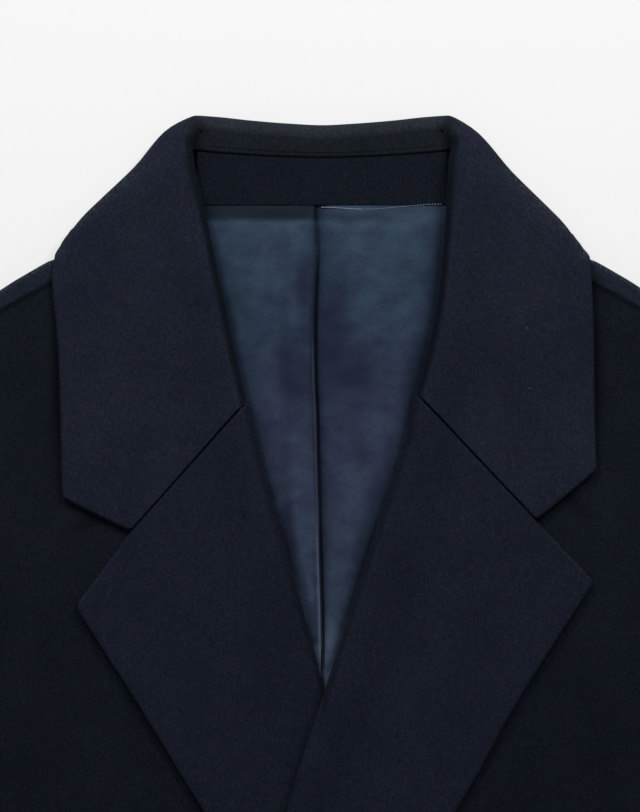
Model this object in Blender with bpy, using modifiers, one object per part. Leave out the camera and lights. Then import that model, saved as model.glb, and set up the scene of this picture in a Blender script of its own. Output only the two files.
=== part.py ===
"""Single-breasted wool overcoat, laid flat on its back with its collar and lapels turned back.

All sizes are in millimetres until a mesh is made. A place on the coat is given by x, positive
to the wearer's left, by depth, the distance below the top of the collar, and by z, the height
above the surface that the coat lies on. A side is -1 for the wearer's right and +1 for the left.
"""

import math

import bmesh
import bpy
import numpy as np

# Cloth walls
WOOL = 2.3
DOUBLED = 4.0  # collar leaf or lapel: two cloths and the canvas between them
TUCK = 1.0  # single facing cloth where it turns under a front
FACING = 2.0
LINING = 1.0

# Heights at which the layers lie, above the underside of the back
BODY_GAP = 3.6
FRONT_RISE = WOOL + BODY_GAP
LINER_RISE = 3.0
LAYER_GAP = 1.0
TUCK_GAP = 0.7
SEAM_GAP, ARMHOLE_GAP = 0.4, 0.6
OVERLAP_RISE = WOOL + LAYER_GAP  # one front over the other
CLEARANCE = 0.3
TUCK_RISE = TUCK + TUCK_GAP + CLEARANCE  # what the upper front's tuck adds, above the break
LAPEL_RISE = DOUBLED + LAYER_GAP  # what the lower lapel adds where it lies between the fronts

# Outline
HEM_DEPTH, COLLAR_TOP_DEPTH = 1045.0, -0.9
SHOULDER_X, SHOULDER_DEPTH, SHOULDER_SLOPE = 240.0, 129.0, 0.545
SHOULDER_SEAM_FORWARD = 12.0
UNDERARM_DEPTH = 400.0
COLLAR_DIMPLE = ((146, 6.0), (159, 0.8), (166, -1.6), (178, -1.2), (190, 0.0))  # the collar's weight on the shoulder line
NECK_SEAM_DEPTH, NECK_SEAM_RISE, NECK_HALF_WIDTH, NECK_POINT_X = 23.2, 3.8, 75.0, 84.0
FACING_BOTTOM_DEPTH = 50.3
ARMHOLE = ((129, 240), (142, 240), (165, 236.5), (205, 233), (250, 232.5), (300, 240), (345, 255),
           (380, 274), (400, 292))
SIDE = ((400, 292), (450, 287), (520, 284), (620, 286), (750, 291), (900, 297), (1045, 303))

# Roll lines, where collar and lapel turn back: (depth, x)
ROLL_LINE = {
    -1: ((0, -77), (27, -73.7), (53, -67.9), (94, -59.2), (161, -44.7), (196, -36), (239, -24.4),
         (280, -12.8), (329, 0.2), (375, 13), (430, 26), (490, 39), (530, 45)),
    +1: ((0, 76), (27, 73), (50, 71.9), (94, 68.4), (129, 62.6), (162, 53.9), (198, 45.2),
         (233, 33.6), (268, 22), (329, 2.6), (375, -12.5), (430, -28), (490, -41), (530, -45)),
}
BREAK_DEPTH = 530.0
GORGE_DEPTH = {-1: 165.0, +1: 160.0}  # where the gorge seam leaves the roll line
NOTCH = {-1: (-111.4, 240.7), +1: (124.7, 234.3)}
LAPEL_EDGE = {  # (depth, x) from the tip down to the break
    -1: ((283.6, -143.3), (352, -99.8), (388, -78), (425, -54), (465, -24), (500, 8), (525, 34),
         (534, 43)),
    +1: ((269.1, 157.8), (352, 106), (385, 88), (425, 62), (465, 30), (500, -5), (525, -34),
         (534, -43)),
}
LAPEL_STATIONS = 15
NOTCH_SHARE = 1 / 3  # of the lapel's length over which the notch's bend fades

# Roll of the lapels and collar
CROWN = 4.0  # how far the roll lifts the edge of a front
CROWN_REACH = 35.0
HOLLOW = 2.0  # air between a front and the cloth that turns back over it, at the roll
HOLLOW_REACH = 30.0
FRONT_INSET = 5.0  # from the roll's outline to the front's edge inside it
INSET_END = (521, 539)  # depths between which the front's edge runs out to its outline
SPRING_END = {-1: (235, 325), +1: (440, 520)}  # depths between which each roll is pressed flat
OVERLAP_MARGIN, OVERLAP_REACH, LAPEL_REACH = 6.0, 70.0, 80.0  # over which the upper front comes down
BELOW_BREAK = 130.0  # how far below the break it has come down from the lower lapel

# Collar: the leaf lies over the fronts, folds round each shoulder and runs on beneath the back
LEAF_LIFT = 4.6
LIFT_X, LIFT_DEPTH = (165.0, 240.0), (86.0, 171.0)  # where the lift starts and ends to fade
FOLD_OUTLINE = {  # silhouette of the fold round each shoulder: (fold position, x, depth)
    -1: ((0, -78.5, 0.0), (0.12, -88.4, 6.6), (0.28, -99.2, 17.8), (0.45, -113.3, 32.0),
         (0.62, -127.2, 45.0), (0.78, -140.1, 58.0), (0.9, -149.8, 69.8), (1, -156.0, 81.2)),
    +1: ((0, 77.0, 0.0), (0.12, 87.6, 7.4), (0.28, 99.9, 20.3), (0.45, 114.6, 34.8),
         (0.62, 129.2, 49.0), (0.78, 142.8, 63.4), (0.9, 150.9, 74.0), (1, 156.2, 81.6)),
}
COLLAR_FRONT = {  # (roll depth, edge x, edge depth), from the notch up to the shoulder
    -1: ((163.9, -111.2, 239.6), (153, -131, 230.2), (141, -150.8, 220.4), (124, -151.6, 187),
         (101, -152.4, 153), (76, -154.1, 120), (50.5, -156.4, 93)),
    +1: ((159.0, 124.6, 233.3), (149, 142, 218.9), (138, 159.5, 204.2), (121, 158.5, 180),
         (99, 158, 150), (75, 157.5, 120), (50.5, 156.2, 93)),
}
COLLAR_SHOULDER = (  # (roll depth, fold position, turn in degrees, length beneath the back)
    (44, 0.985, 55, 0),
    (41.5, 0.955, 105, 0),
    (39, 0.92, 155, 0),
    (35, 0.87, 180, 6),
    (29.5, 0.78, 180, 18),
    (22.5, 0.62, 180, 30),
)
COLLAR_NECK = (
    # centre x, centre depth, facing, first angle, centre z, radius, seam x, seam depth, seam z,
    # fold position, edge x, edge depth
    (80.6, 15.0, 8, -75, 16.4, 3.8, 84.0, 25.0, 12.4, 0.40, 82.0, 68.0),
    (77.0, 6.6, 38, -20, 15.4, 3.0, 79.5, 19.5, 9.8, 0.10, 64.0, 70.0),
    (72.3, 3.4, 68, 40, 13.6, 3.2, 74.5, 17.7, 8.8, None, 52.0, 71.5),
    (60.0, 4.8, 82, 58, 12.9, 3.6, 61.5, 18.9, 8.6, None, 42.0, 72.0),
    (42.0, 6.8, 86, 60, 12.9, 3.6, 43.0, 20.1, 8.6, None, 30.0, 72.0),
    (20.0, 8.6, 88, 60, 12.9, 3.6, 20.5, 21.2, 8.6, None, 14.5, 72.0),
)
COLLAR_CENTRE = (0.0, 9.6, 90, 60, 12.9, 3.6, 0.0, 21.5, 8.6, None, 0.0, 72.0)

# Sleeves, as silhouettes of the flattened tube
SLEEVE_LENGTH = 640.0
SLEEVE_HEADINGS = (61.5, 40.0, 36.0)  # degrees from straight down: shoulder, elbow, cuff
SLEEVE_BEND = 300.0
CUFF_WIDTH = 145.0
UNDERARM_START = (297.0, 406.0)
SLEEVE_STATIONS = (0.0, 0.03, 0.07, 0.12, 0.22, 0.35, 0.5, 0.65, 0.82, 1.0)

# Buttons down the centre front
BUTTON_DEPTHS = (548.0, 662.0, 776.0)
BUTTON_RADIUS, BUTTON_THICKNESS, BUTTON_DISH = 14.5, 4.2, 1.2
BUTTON_HOLE_RADIUS, BUTTON_HOLE_SPACING = 1.3, 5.6

COLOURS = {  # name: (red, green, blue), roughness
    "wool": ((0.0105, 0.0125, 0.021), 0.95),
    "lining": ((0.030, 0.045, 0.075), 0.38),
    "button": ((0.012, 0.013, 0.018), 0.35),
}


def ease(t):
    """Smooth step from 0 to 1."""
    t = min(max(t, 0.0), 1.0)
    return t * t * (3 - 2 * t)


def curve_at(rows, at):
    """A smooth curve through (position, value) rows, held at its ends."""
    positions = np.array([row[0] for row in rows], float)
    values = np.array([row[1] for row in rows], float)
    slopes = np.gradient(values, positions)
    at = min(max(at, positions[0]), positions[-1])
    i = min(max(int(np.searchsorted(positions, at)) - 1, 0), len(rows) - 2)
    step = positions[i + 1] - positions[i]
    t = (at - positions[i]) / step
    return (
        (2 * t**3 - 3 * t**2 + 1) * values[i]
        + (t**3 - 2 * t**2 + t) * step * slopes[i]
        + (3 * t**2 - 2 * t**3) * values[i + 1]
        + (t**3 - t**2) * step * slopes[i + 1]
    )


def mix(a, b, t):
    return tuple(p + (q - p) * t for p, q in zip(a, b))


def unit(x, y):
    length = math.hypot(x, y)
    return x / length, y / length


# ---------------------------------------------------------------- heights of the layers


def roll_x(side, depth):
    return curve_at(ROLL_LINE[side], depth)


def lift(x, depth):
    """How far the body lies above the floor, where the collar's leaf is beneath it."""
    across, down = (
        1 - ease((at - start) / (end - start)) for at, (start, end) in ((abs(x), LIFT_X), (depth, LIFT_DEPTH))
    )
    return LEAF_LIFT * across * down


def from_roll(side, x, depth):
    return side * (x - roll_x(side, depth))


def springy(side, depth):
    """1 where the roll stands up by itself, 0 where the cloth is pressed flat."""
    start, end = SPRING_END[side]
    return 1 - ease((depth - start) / (end - start))


def crown(side, x, depth):
    """The rise of a front's inner edge into the roll."""
    near = 1 - ease((from_roll(side, x, depth) - FRONT_INSET) / CROWN_REACH)
    return CROWN * near * springy(side, depth)


def overlap(x, depth):
    """The rise of the upper front over the lower front and its lapel."""
    near = 1 - ease((-from_roll(-1, x, depth) - OVERLAP_MARGIN) / OVERLAP_REACH)
    lapel_x = curve_at(LAPEL_EDGE[-1], depth)
    on_lapel = ease((x - lapel_x + LAPEL_REACH) / LAPEL_REACH)
    above_break = 1 - ease((depth - BREAK_DEPTH) / BELOW_BREAK)
    return near * (OVERLAP_RISE + (TUCK_RISE + LAPEL_RISE * on_lapel) * above_break)


def front_z(side, x, depth):
    """Height of a front's underside."""
    height = lift(x, depth) + FRONT_RISE + crown(side, x, depth)
    return height + (overlap(x, depth) if side > 0 else 0.0)


def turned_z(side, x, depth):
    """Height of the middle of the doubled cloth that is turned back over a front."""
    near = 1 - ease((from_roll(side, x, depth) - FRONT_INSET) / HOLLOW_REACH)
    hollow = HOLLOW * near * springy(side, depth)
    return front_z(side, x, depth) + WOOL + LAYER_GAP + hollow + DOUBLED / 2


# ---------------------------------------------------------------- making solids


def world(point):
    x, depth, z = point
    return x / 1000, (BOX_CENTRE_DEPTH - depth) / 1000, z / 1000


BOX_CENTRE_DEPTH = (HEM_DEPTH + COLLAR_TOP_DEPTH) / 2


def material(name):
    colour, roughness = COLOURS[name]
    made = bpy.data.materials.get(name) or bpy.data.materials.new(name)
    made.use_nodes = True
    shader = made.node_tree.nodes["Principled BSDF"]
    shader.inputs["Base Color"].default_value = (*colour, 1)
    shader.inputs["Roughness"].default_value = roughness
    shader.inputs["Metallic"].default_value = 0.0
    return made


def add_object(name, mesh, finish, collection):
    mesh.materials.append(material(finish))
    made = bpy.data.objects.new(name, mesh)
    collection.objects.link(made)
    return made


def cloth(name, rows, wall, finish, collection, tube=False, weights=None):
    """A wall of cloth whose middle surface runs through rows of points, thinner where told."""
    count = len(rows[0])
    mesh = bpy.data.meshes.new(name)
    faces = []
    for r in range(len(rows) - 1):
        for c in range(count if tube else count - 1):
            after = (c + 1) % count
            faces.append((r * count + c, r * count + after, (r + 1) * count + after, (r + 1) * count + c))
    mesh.from_pydata([world(point) for row in rows for point in row], [], faces)
    mesh.shade_smooth()
    made = add_object(name, mesh, finish, collection)
    solid = made.modifiers.new("wall", "SOLIDIFY")
    solid.thickness = wall / 1000
    solid.offset = 0
    if weights:
        group = made.vertex_groups.new(name="wall")
        for i, weight in enumerate(weight for row in weights for weight in row):
            group.add([i], weight, "REPLACE")
        solid.vertex_group = "wall"
        solid.thickness_vertex_group = TUCK / wall
    return made


# ---------------------------------------------------------------- back and fronts

SIDE_FOLD_ANGLES = (26, 50, 72)
SIDE_FOLD_RADIUS = FRONT_RISE / 2
ARMHOLE_MARGINS = (4.0, 2.0, 0.0)


def dimple(x):
    return float(np.interp(abs(x), *zip(*COLLAR_DIMPLE)))


def armhole_x(depth):
    return float(np.interp(depth, *zip(*ARMHOLE)))


def shoulder_line(x):
    """Depth of the fold along the shoulder."""
    line = SHOULDER_DEPTH - SHOULDER_SLOPE * (SHOULDER_X - min(abs(x), SHOULDER_X))
    return line + dimple(x)


def back_top(x):
    """Depth of the back's top outline: neck seam, neck point, then shoulder."""
    x = abs(x)
    if x >= NECK_POINT_X:
        return shoulder_line(x)
    neck = NECK_SEAM_DEPTH - NECK_SEAM_RISE * (min(x, NECK_HALF_WIDTH) / NECK_HALF_WIDTH) ** 2
    along = ease((x - NECK_HALF_WIDTH) / (NECK_POINT_X - NECK_HALF_WIDTH))
    return neck + (shoulder_line(NECK_POINT_X) - neck) * along


def side_points(depth):
    """x of the flat cloth's end and, past it, (x, rise towards the other layer) to the seam."""
    if depth < UNDERARM_DEPTH:
        end = armhole_x(depth)
        return end - 6, [(end - margin, 0.0) for margin in ARMHOLE_MARGINS]
    centre = curve_at(SIDE, depth) - SIDE_FOLD_RADIUS - WOOL / 2
    turns = [math.radians(angle) for angle in SIDE_FOLD_ANGLES]
    return centre, [
        (centre + SIDE_FOLD_RADIUS * math.sin(a), SIDE_FOLD_RADIUS * (1 - math.cos(a))) for a in turns
    ]


BACK_ROWS = (1045, 900, 760, 620, 520, 450, 401, 396, 380, 345, 300, 273, 250, 228, 205, 186, 168, 152)
SHOULDER_COLUMNS = (83, 94, 108, 124, 142, 160, 182, 208, 234)  # x at the shoulder
BACK_COLUMNS = (0, 36, 73, 78) + SHOULDER_COLUMNS
SHOULDER_TURNS = (0, 45, 90, 135, 180)
NECK_STEPS = (6.0, 5.0, 4.0, 3.0, 2.0, 0.2)


def row_depth(x, side_depth):
    """Rows follow the shoulder at the top and straighten by the underarm."""
    straight = ease((side_depth - SHOULDER_DEPTH) / (UNDERARM_DEPTH - SHOULDER_DEPTH))
    return side_depth - (SHOULDER_DEPTH - back_top(min(abs(x), SHOULDER_X))) * (1 - straight)


def back_row(side_depth):
    end, edge = side_points(side_depth)
    half = []
    for column in BACK_COLUMNS:
        x = end * column / BACK_COLUMNS[-1]
        half.append((x, row_depth(x, side_depth), 0.0))
    half += [(x, row_depth(x, side_depth), rise) for x, rise in edge]
    row = [(-x, depth, rise) for x, depth, rise in reversed(half[1:])] + half
    return [(x, depth, lift(x, depth) + WOOL / 2 + rise) for x, depth, rise in row]


def shoulder_turn(x, step):
    """A point where the back turns over the shoulder to the seam on the front side."""
    side = 1 if x > 0 else -1
    top = back_top(x)
    if step == len(SHOULDER_TURNS):
        depth = top + SHOULDER_SEAM_FORWARD - SEAM_GAP / 2
        return x, depth, front_z(side, x, depth) + WOOL / 2
    low = lift(x, top) + WOOL / 2
    high = front_z(side, x, top + 4) + WOOL / 2
    radius = (high - low) / 2
    angle = math.radians(SHOULDER_TURNS[step])
    depth = top + WOOL / 2 + radius * (1 - math.sin(angle))
    return x, depth, low + radius * (1 - math.cos(angle))


def neck_edge(x, step):
    depth = back_top(x) + NECK_STEPS[step]
    return x, depth, lift(x, depth) + WOOL / 2


def back_shoulder_row(step):
    _, edge = side_points(SHOULDER_DEPTH)
    half = list(BACK_COLUMNS) + [x for x, _ in edge]
    row = []
    for x in [-x for x in reversed(half[1:])] + half:
        row.append(shoulder_turn(x, step) if abs(x) > SHOULDER_COLUMNS[0] else neck_edge(x, step))
    return row


def make_back(collection):
    rows = [back_row(depth) for depth in BACK_ROWS]
    rows += [back_shoulder_row(step) for step in range(len(SHOULDER_TURNS) + 1)]
    cloth("back", rows, WOOL, "wool", collection)


FRONT_ROWS = (
    # depth at the inner edge, depth at the side
    (52, 138), (66, 152), (82, 165), (105, 185), (130, 205), (160, 228), (188, 250), (218, 276),
    (247, 300), (275, 322), (303, 345), (338, 380), (352, 396), (358, 401), (395, 428), (430, 458),
    (465, 490), (498, 518), (525, 542), (541, 560), (578, 592), (625, 635), (740, 742), (890, 890),
    (1045, 1045),
)


def front_edge_x(side, depth):
    start, end = INSET_END
    inset = FRONT_INSET * (1 - ease((depth - start) / (end - start)))
    return roll_x(side, depth) + side * inset


def front_columns(side):
    """Fractions across a front, which meet the back's columns along the shoulder seam."""
    start = abs(front_edge_x(side, FRONT_ROWS[0][0]))
    end = SHOULDER_COLUMNS[-1]
    return [0.0] + [(x - start) / (end - start) for x in SHOULDER_COLUMNS]


def make_front(side, collection):
    rows = []
    for number, (inner_depth, outer_depth) in enumerate(FRONT_ROWS):
        start = front_edge_x(side, inner_depth)
        end, edge = side_points(outer_depth)
        row = []
        for fraction in front_columns(side):
            x = start + (side * end - start) * fraction
            row.append((x, inner_depth + (outer_depth - inner_depth) * fraction, 0.0))
        slope = (outer_depth - inner_depth) / abs(side * end - start)
        row += [(side * x, outer_depth + slope * (x - end), rise) for x, rise in edge]
        if number == 0:
            forward = SHOULDER_SEAM_FORWARD + SEAM_GAP / 2
            row = [(x, shoulder_line(x) + forward, rise) for x, _, rise in row]
        else:
            row = [(x, depth + dimple(x) * max(0, 1 - number / 4), rise) for x, depth, rise in row]
        row = [(x, depth, front_z(side, x, depth) + WOOL / 2 - rise) for x, depth, rise in row]
        rows.append(row)
    cloth("front_left" if side > 0 else "front_right", rows, WOOL, "wool", collection)


# ---------------------------------------------------------------- lapels and collar

ROLL_ANGLES = (-90, -45, 0, 45, 90)
TUCK_LENGTH, TUCK_COVER = 3.5, 6.0  # flat part of the tuck, and how much of the front lies over it
ROLL_CENTRE_IN = DOUBLED * 0.35  # the roll's middle lies this much inside its radius
LEAF_STEPS = (0.1, 0.27, 0.48, 0.7, 1.0)
LAPEL_FOOT = 6.0  # from the last turned section down to the break
LAPEL_WALL = (0, 0, 0.2, 0.5, 0.8, 1, 1, 1, 1, 1, 1)


def turned_section(side, roll_depth, edge, leaf_steps, notch=None, bend=0.0):
    """Tuck under the front, turn at the roll, then the doubled cloth out to its edge."""
    roll = (roll_x(side, roll_depth), roll_depth)
    away = unit(edge[0] - roll[0], edge[1] - roll[1])
    width = math.hypot(edge[0] - roll[0], edge[1] - roll[1])

    def place(s):
        x, depth = roll[0] + away[0] * s, roll[1] + away[1] * s
        if notch and s > 0:
            at = math.hypot(notch[0] - roll[0], notch[1] - roll[1])
            tent = min(s / at, (width - s) / (width - at))
            on_line = (roll[0] + away[0] * at, roll[1] + away[1] * at)
            x += (notch[0] - on_line[0]) * tent * bend
            depth += (notch[1] - on_line[1]) * tent * bend
        return x, depth

    inner, outer = place(FRONT_INSET), place(FRONT_INSET + TUCK_COVER)
    low = min(front_z(side, *at) for at in (inner, outer)) - TUCK_GAP - TUCK / 2
    high = turned_z(side, *inner)
    radius = (high - low) / 2
    centre = radius + ROLL_CENTRE_IN
    path = [(*place(centre + TUCK_LENGTH), low)]
    for angle in ROLL_ANGLES:
        turn = math.radians(angle)
        s = centre - radius * math.cos(turn)
        path.append((*place(s), low + radius * (1 + math.sin(turn))))
    for step in leaf_steps:
        at = place(centre + (width - centre) * step)
        path.append((*at, turned_z(side, *at)))
    return path


def make_lapel(side, collection):
    rows = []
    last = BREAK_DEPTH - LAPEL_FOOT
    for k in range(LAPEL_STATIONS):
        t = k / (LAPEL_STATIONS - 1)
        roll_depth = GORGE_DEPTH[side] + (last - GORGE_DEPTH[side]) * t
        edge_depth = LAPEL_EDGE[side][0][0] + (BREAK_DEPTH - LAPEL_EDGE[side][0][0]) * t
        edge = (curve_at(LAPEL_EDGE[side], edge_depth), edge_depth)
        bend = max(0.0, 1 - t / NOTCH_SHARE)
        rows.append(turned_section(side, roll_depth, edge, LEAF_STEPS, NOTCH[side], bend))
    name = "lapel_left" if side > 0 else "lapel_right"
    cloth(name, rows, DOUBLED, "wool", collection, weights=[LAPEL_WALL] * len(rows))


def fold_outline(side, t):
    """A place on the collar's outline round the shoulder, and the direction in from it."""
    rows = FOLD_OUTLINE[side]
    along = unit(rows[-1][1] - rows[0][1], rows[-1][2] - rows[0][2])
    place = tuple(float(curve_at([(row[0], row[axis]) for row in rows], t)) for axis in (1, 2))
    return place, (-side * along[1], side * along[0])


TOP_STEPS = (0.1, 0.3, 0.55, 0.8)
FOLD_STEPS = 9  # points from the start of the fold to the edge beneath the back
EDGE_MARGINS = (10.5, 9, 7.5, 6, 4.7, 3.5, 2.3, 1.1, 0)
UNDER_Z = DOUBLED / 2
STAND_SHARE = 0.4  # of the fold over which the leaf comes off its roll
LEAST_ARC = 0.5  # share of the fold's points that its arc has at least
FOLD_RADIUS, FOLD_SPREAD = 5.2, 1.75  # of the fold at the neck, and what it gains by the shoulder
HEEL_RADIUS = 4.0  # where the leaf turns in beneath the back, behind the neck


def folded_leaf(side, start, fold_at, edge=None, turn_to=180, under=0.0):
    """From the roll over to the fold round the shoulder, and beneath the back to the edge."""
    outline, inward = fold_outline(side, fold_at)
    high = start[2] + (float(turned_z(side, *outline)) - start[2]) * fold_at
    high = min(high, UNDER_Z + 2 * (FOLD_RADIUS + FOLD_SPREAD * fold_at))
    stands = ease((1 - fold_at) / STAND_SHARE)  # towards the neck the leaf hangs free from its roll
    radius = (high - UNDER_Z) / 2
    turned = math.radians(turn_to)
    reach = (radius + DOUBLED / 2) * math.sin(min(turned, math.pi / 2))
    centre = tuple(outline[i] + inward[i] * reach for i in (0, 1))
    inside = sum((start[i] - centre[i]) * inward[i] for i in (0, 1))
    above = start[2] - UNDER_Z - radius
    first = math.pi / 2 - math.atan2(above, -inside) + math.acos(min(radius / math.hypot(inside, above), 1))
    first = max(first, 0.0) * stands

    def around(angle):
        at = tuple(centre[i] - inward[i] * radius * math.sin(angle) for i in (0, 1))
        return (*at, UNDER_Z + radius * (1 + math.cos(angle)))

    path = []
    for step in TOP_STEPS:
        x, depth, hanging = mix(start, around(first), step)
        lying = float(turned_z(side, x, depth))
        path.append((x, depth, lying + (hanging - lying) * stands))
    if edge is None:
        edge = tuple(centre[i] + inward[i] * under for i in (0, 1))
    under = math.hypot(edge[0] - centre[0], edge[1] - centre[1])
    arc = radius * (turned - first)
    arc_share = max(LEAST_ARC, arc / (arc + under))
    for t in np.linspace(0, 1, FOLD_STEPS):
        if t <= arc_share:
            path.append(around(first + (turned - first) * t / arc_share))
        else:
            path.append((*mix(centre, edge, (t - arc_share) / (1 - arc_share)), UNDER_Z))
    return path


def shoulder_station(side, roll_depth, fold_at, turn_to, under):
    outline, _ = fold_outline(side, fold_at)
    roll = turned_section(side, roll_depth, outline, ())
    return roll + folded_leaf(side, roll[-1], fold_at, turn_to=turn_to, under=under)


def neck_station(side, row):
    """Stand up from the neck seam, over the roll, and down behind the neck."""
    x, depth, facing, first, z, radius, *seam, fold_at, edge_x, edge_depth = row
    toward = (-side * math.cos(math.radians(facing)), math.sin(math.radians(facing)))
    centre = (side * x, depth)

    def around(angle):
        reach = radius * math.cos(angle)
        at = (centre[0] + toward[0] * reach, centre[1] + toward[1] * reach)
        return (*at, z + radius * math.sin(angle))

    stand = [around(angle) for angle in np.radians(np.linspace(first, 90, 5))]
    path = [(side * seam[0], *seam[1:])] + stand
    edge = (side * edge_x, edge_depth)
    if fold_at is not None:
        return path + folded_leaf(side, stand[-1], fold_at, edge)
    path += [around(math.radians(angle)) for angle in (130, 180)]
    outer = path[-1]
    drop = outer[2] - UNDER_Z - HEEL_RADIUS
    path += [(outer[0], outer[1], outer[2] - drop * t) for t in (0.4, 0.75)]
    back = unit(edge[0] - outer[0], edge[1] - outer[1])
    for angle in np.radians((0, 22, 45, 68, 90)):
        reach = HEEL_RADIUS * (1 - math.cos(angle))
        at = (outer[0] + back[0] * reach, outer[1] + back[1] * reach)
        path.append((*at, UNDER_Z + HEEL_RADIUS * (1 - math.sin(angle))))
    start = path[-1]
    path += [mix(start, (*edge, UNDER_Z), step) for step in (0.25, 0.5, 0.75, 1.0)]
    return path


def front_station(side, roll_depth, edge_x, edge_depth):
    """From the tuck over the roll and out to the leaf's edge."""
    edge = (edge_x, edge_depth)
    roll = turned_section(side, roll_depth, edge, ())
    start = roll[-1]
    reach = math.hypot(start[0] - edge_x, start[1] - edge_depth)
    steps = [step * (1 - EDGE_MARGINS[0] / reach) for step in TOP_STEPS]
    steps += [1 - margin / reach for margin in EDGE_MARGINS]
    places = [mix(start[:2], edge, step) for step in steps]
    return roll + [(*place, turned_z(side, *place)) for place in places]


def make_collar(collection):
    halves = {}
    for side in (-1, 1):
        half = [front_station(side, *row) for row in COLLAR_FRONT[side]]
        half += [shoulder_station(side, *row) for row in COLLAR_SHOULDER]
        half += [neck_station(side, row) for row in COLLAR_NECK]
        halves[side] = half
    rows = halves[-1] + [neck_station(1, COLLAR_CENTRE)] + halves[1][::-1]
    tucked = len(COLLAR_FRONT[1]) + len(COLLAR_SHOULDER)
    leaf = [1.0] * (len(rows[0]) - 6)
    half_walls = [list(LAPEL_WALL[:6]) + leaf] * tucked + [[1.0] * len(rows[0])] * len(COLLAR_NECK)
    walls = half_walls + [[1.0] * len(rows[0])] + half_walls[::-1]
    cloth("collar", rows, DOUBLED, "wool", collection, weights=walls)


# ---------------------------------------------------------------- lining and facing

PLEAT_LAP = 12.0
PLEAT_RISE = LINING + 0.5
PLEAT_END = (258, 271, 284)  # depths at which the lower half leaves the lap and the upper comes down
LINING_ROWS = (50.7, 64, 84, 100, 118, 138, 158, 180, 220, 258, 271, 284, 315, 350)
LINING_COLUMNS = (0, 0.08, 0.19, 0.4, 0.7, 1.0)
LINING_UNDER = 9.0  # how far the lining runs on beneath a roll
PLEAT_FOLD = ((110, -2.0), (200, -3.5))  # (depth, x) of the pleat's edge
PLEAT_EASE = 10.0  # over which the lapping half comes down beside the pleat


def make_lining(side, collection):
    """The wearer's right half laps over the left one in the centre-back pleat."""
    rows = []
    for depth in LINING_ROWS:
        outer = roll_x(side, min(depth, 290)) + side * LINING_UNDER
        (high, first), (low, last) = PLEAT_FOLD
        fold = first + (last - first) * ease((depth - high) / (low - high))
        start_at, clear_at, end_at = PLEAT_END
        tucked = 1 - ease((depth - start_at) / (clear_at - start_at))
        raised = 1 - ease((depth - clear_at) / (end_at - clear_at))
        start = fold if side < 0 else fold + SEAM_GAP - PLEAT_LAP * tucked
        row = []
        for fraction in LINING_COLUMNS:
            x = start + (outer - start) * fraction
            near = 1 - ease((start - x - PLEAT_LAP) / PLEAT_EASE)
            lap = PLEAT_RISE * near * raised if side < 0 else 0.0
            row.append((x, depth, lift(x, depth) + LINER_RISE + LINING / 2 + lap))
        rows.append(row)
    cloth("lining_left" if side > 0 else "lining_right", rows, LINING, "lining", collection)


def make_facing(collection):
    rows = []
    for t in (0.0, 0.3, 0.65, 1.0):
        row = []
        for fraction in (-1, -0.8, -0.55, -0.28, 0, 0.28, 0.55, 0.8, 1):
            x = 73.0 * fraction
            top = back_top(x) + SEAM_GAP
            depth = top + (FACING_BOTTOM_DEPTH - top) * t
            row.append((x, depth, lift(x, depth) + LINER_RISE + FACING / 2))
        rows.append(row)
    cloth("back_neck_facing", rows, FACING, "wool", collection)


# ---------------------------------------------------------------- sleeves


def sleeve_outer(distance):
    """A point on the sleeve's outer outline, that far from the shoulder point."""
    steps = max(int(distance / 10), 1)
    x, depth = SHOULDER_X + ARMHOLE_GAP, SHOULDER_DEPTH
    for k in range(steps):
        at = (k + 0.5) * distance / steps
        shoulder, elbow, cuff = SLEEVE_HEADINGS
        heading = shoulder + (elbow - shoulder) * ease(at / SLEEVE_BEND)
        heading += (cuff - elbow) * ease((at - SLEEVE_BEND) / (SLEEVE_LENGTH - SLEEVE_BEND))
        x += math.sin(math.radians(heading)) * distance / steps
        depth += math.cos(math.radians(heading)) * distance / steps
    return x, depth


def sleeve_inner(fraction):
    end = sleeve_outer(SLEEVE_LENGTH)
    cuff = math.radians(SLEEVE_HEADINGS[2])
    cuff_point = (end[0] - CUFF_WIDTH * math.cos(cuff), end[1] + CUFF_WIDTH * math.sin(cuff))
    return mix(UNDERARM_START, cuff_point, fraction)


SLEEVE_TURNS = (45, 90, 135)
ARMHOLE_SHARE = 0.12  # of the sleeve over which the armhole's curve fades
ARMHOLE_EASE = 14.0  # over which the armhole's curve starts at either end of the seam


def sleeve_ring(fraction):
    """The flattened tube, front layer outwards to the underarm, back layer home again."""
    outer = sleeve_outer(SLEEVE_LENGTH * fraction)
    inner = sleeve_inner(fraction)
    across = unit(inner[0] - outer[0], inner[1] - outer[1])
    width = math.hypot(inner[0] - outer[0], inner[1] - outer[1])
    margin = SIDE_FOLD_RADIUS + WOOL / 2
    fit = max(0.0, 1 - fraction / ARMHOLE_SHARE)

    def place(s):
        x, depth = outer[0] + across[0] * s, outer[1] + across[1] * s
        if fit and 0 < s < width:
            seam_x = armhole_x(depth) + ARMHOLE_GAP
            near_end = ease(min(s, width - s) / ARMHOLE_EASE)
            x += (seam_x - x) * fit * near_end
        return x, depth

    low, high = WOOL / 2, WOOL / 2 + FRONT_RISE
    middle = (low + high) / 2
    span = UNDERARM_START[1] - SHOULDER_DEPTH
    seam_steps = [(depth - SHOULDER_DEPTH) / span for depth, _ in ARMHOLE[1:-1]]
    flat = [margin] + [width * step for step in seam_steps] + [width - margin]
    front = [(*place(s), high) for s in flat]
    back = [(x, depth, low) for x, depth, _ in reversed(front)]
    turn_in = [math.radians(angle) for angle in SLEEVE_TURNS]
    underarm = [
        (*place(width - margin + SIDE_FOLD_RADIUS * math.sin(a)), middle + SIDE_FOLD_RADIUS * math.cos(a))
        for a in turn_in
    ]
    outside = [
        (*place(margin - SIDE_FOLD_RADIUS * math.sin(a)), middle - SIDE_FOLD_RADIUS * math.cos(a))
        for a in turn_in
    ]
    return front + underarm + back + outside


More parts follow.
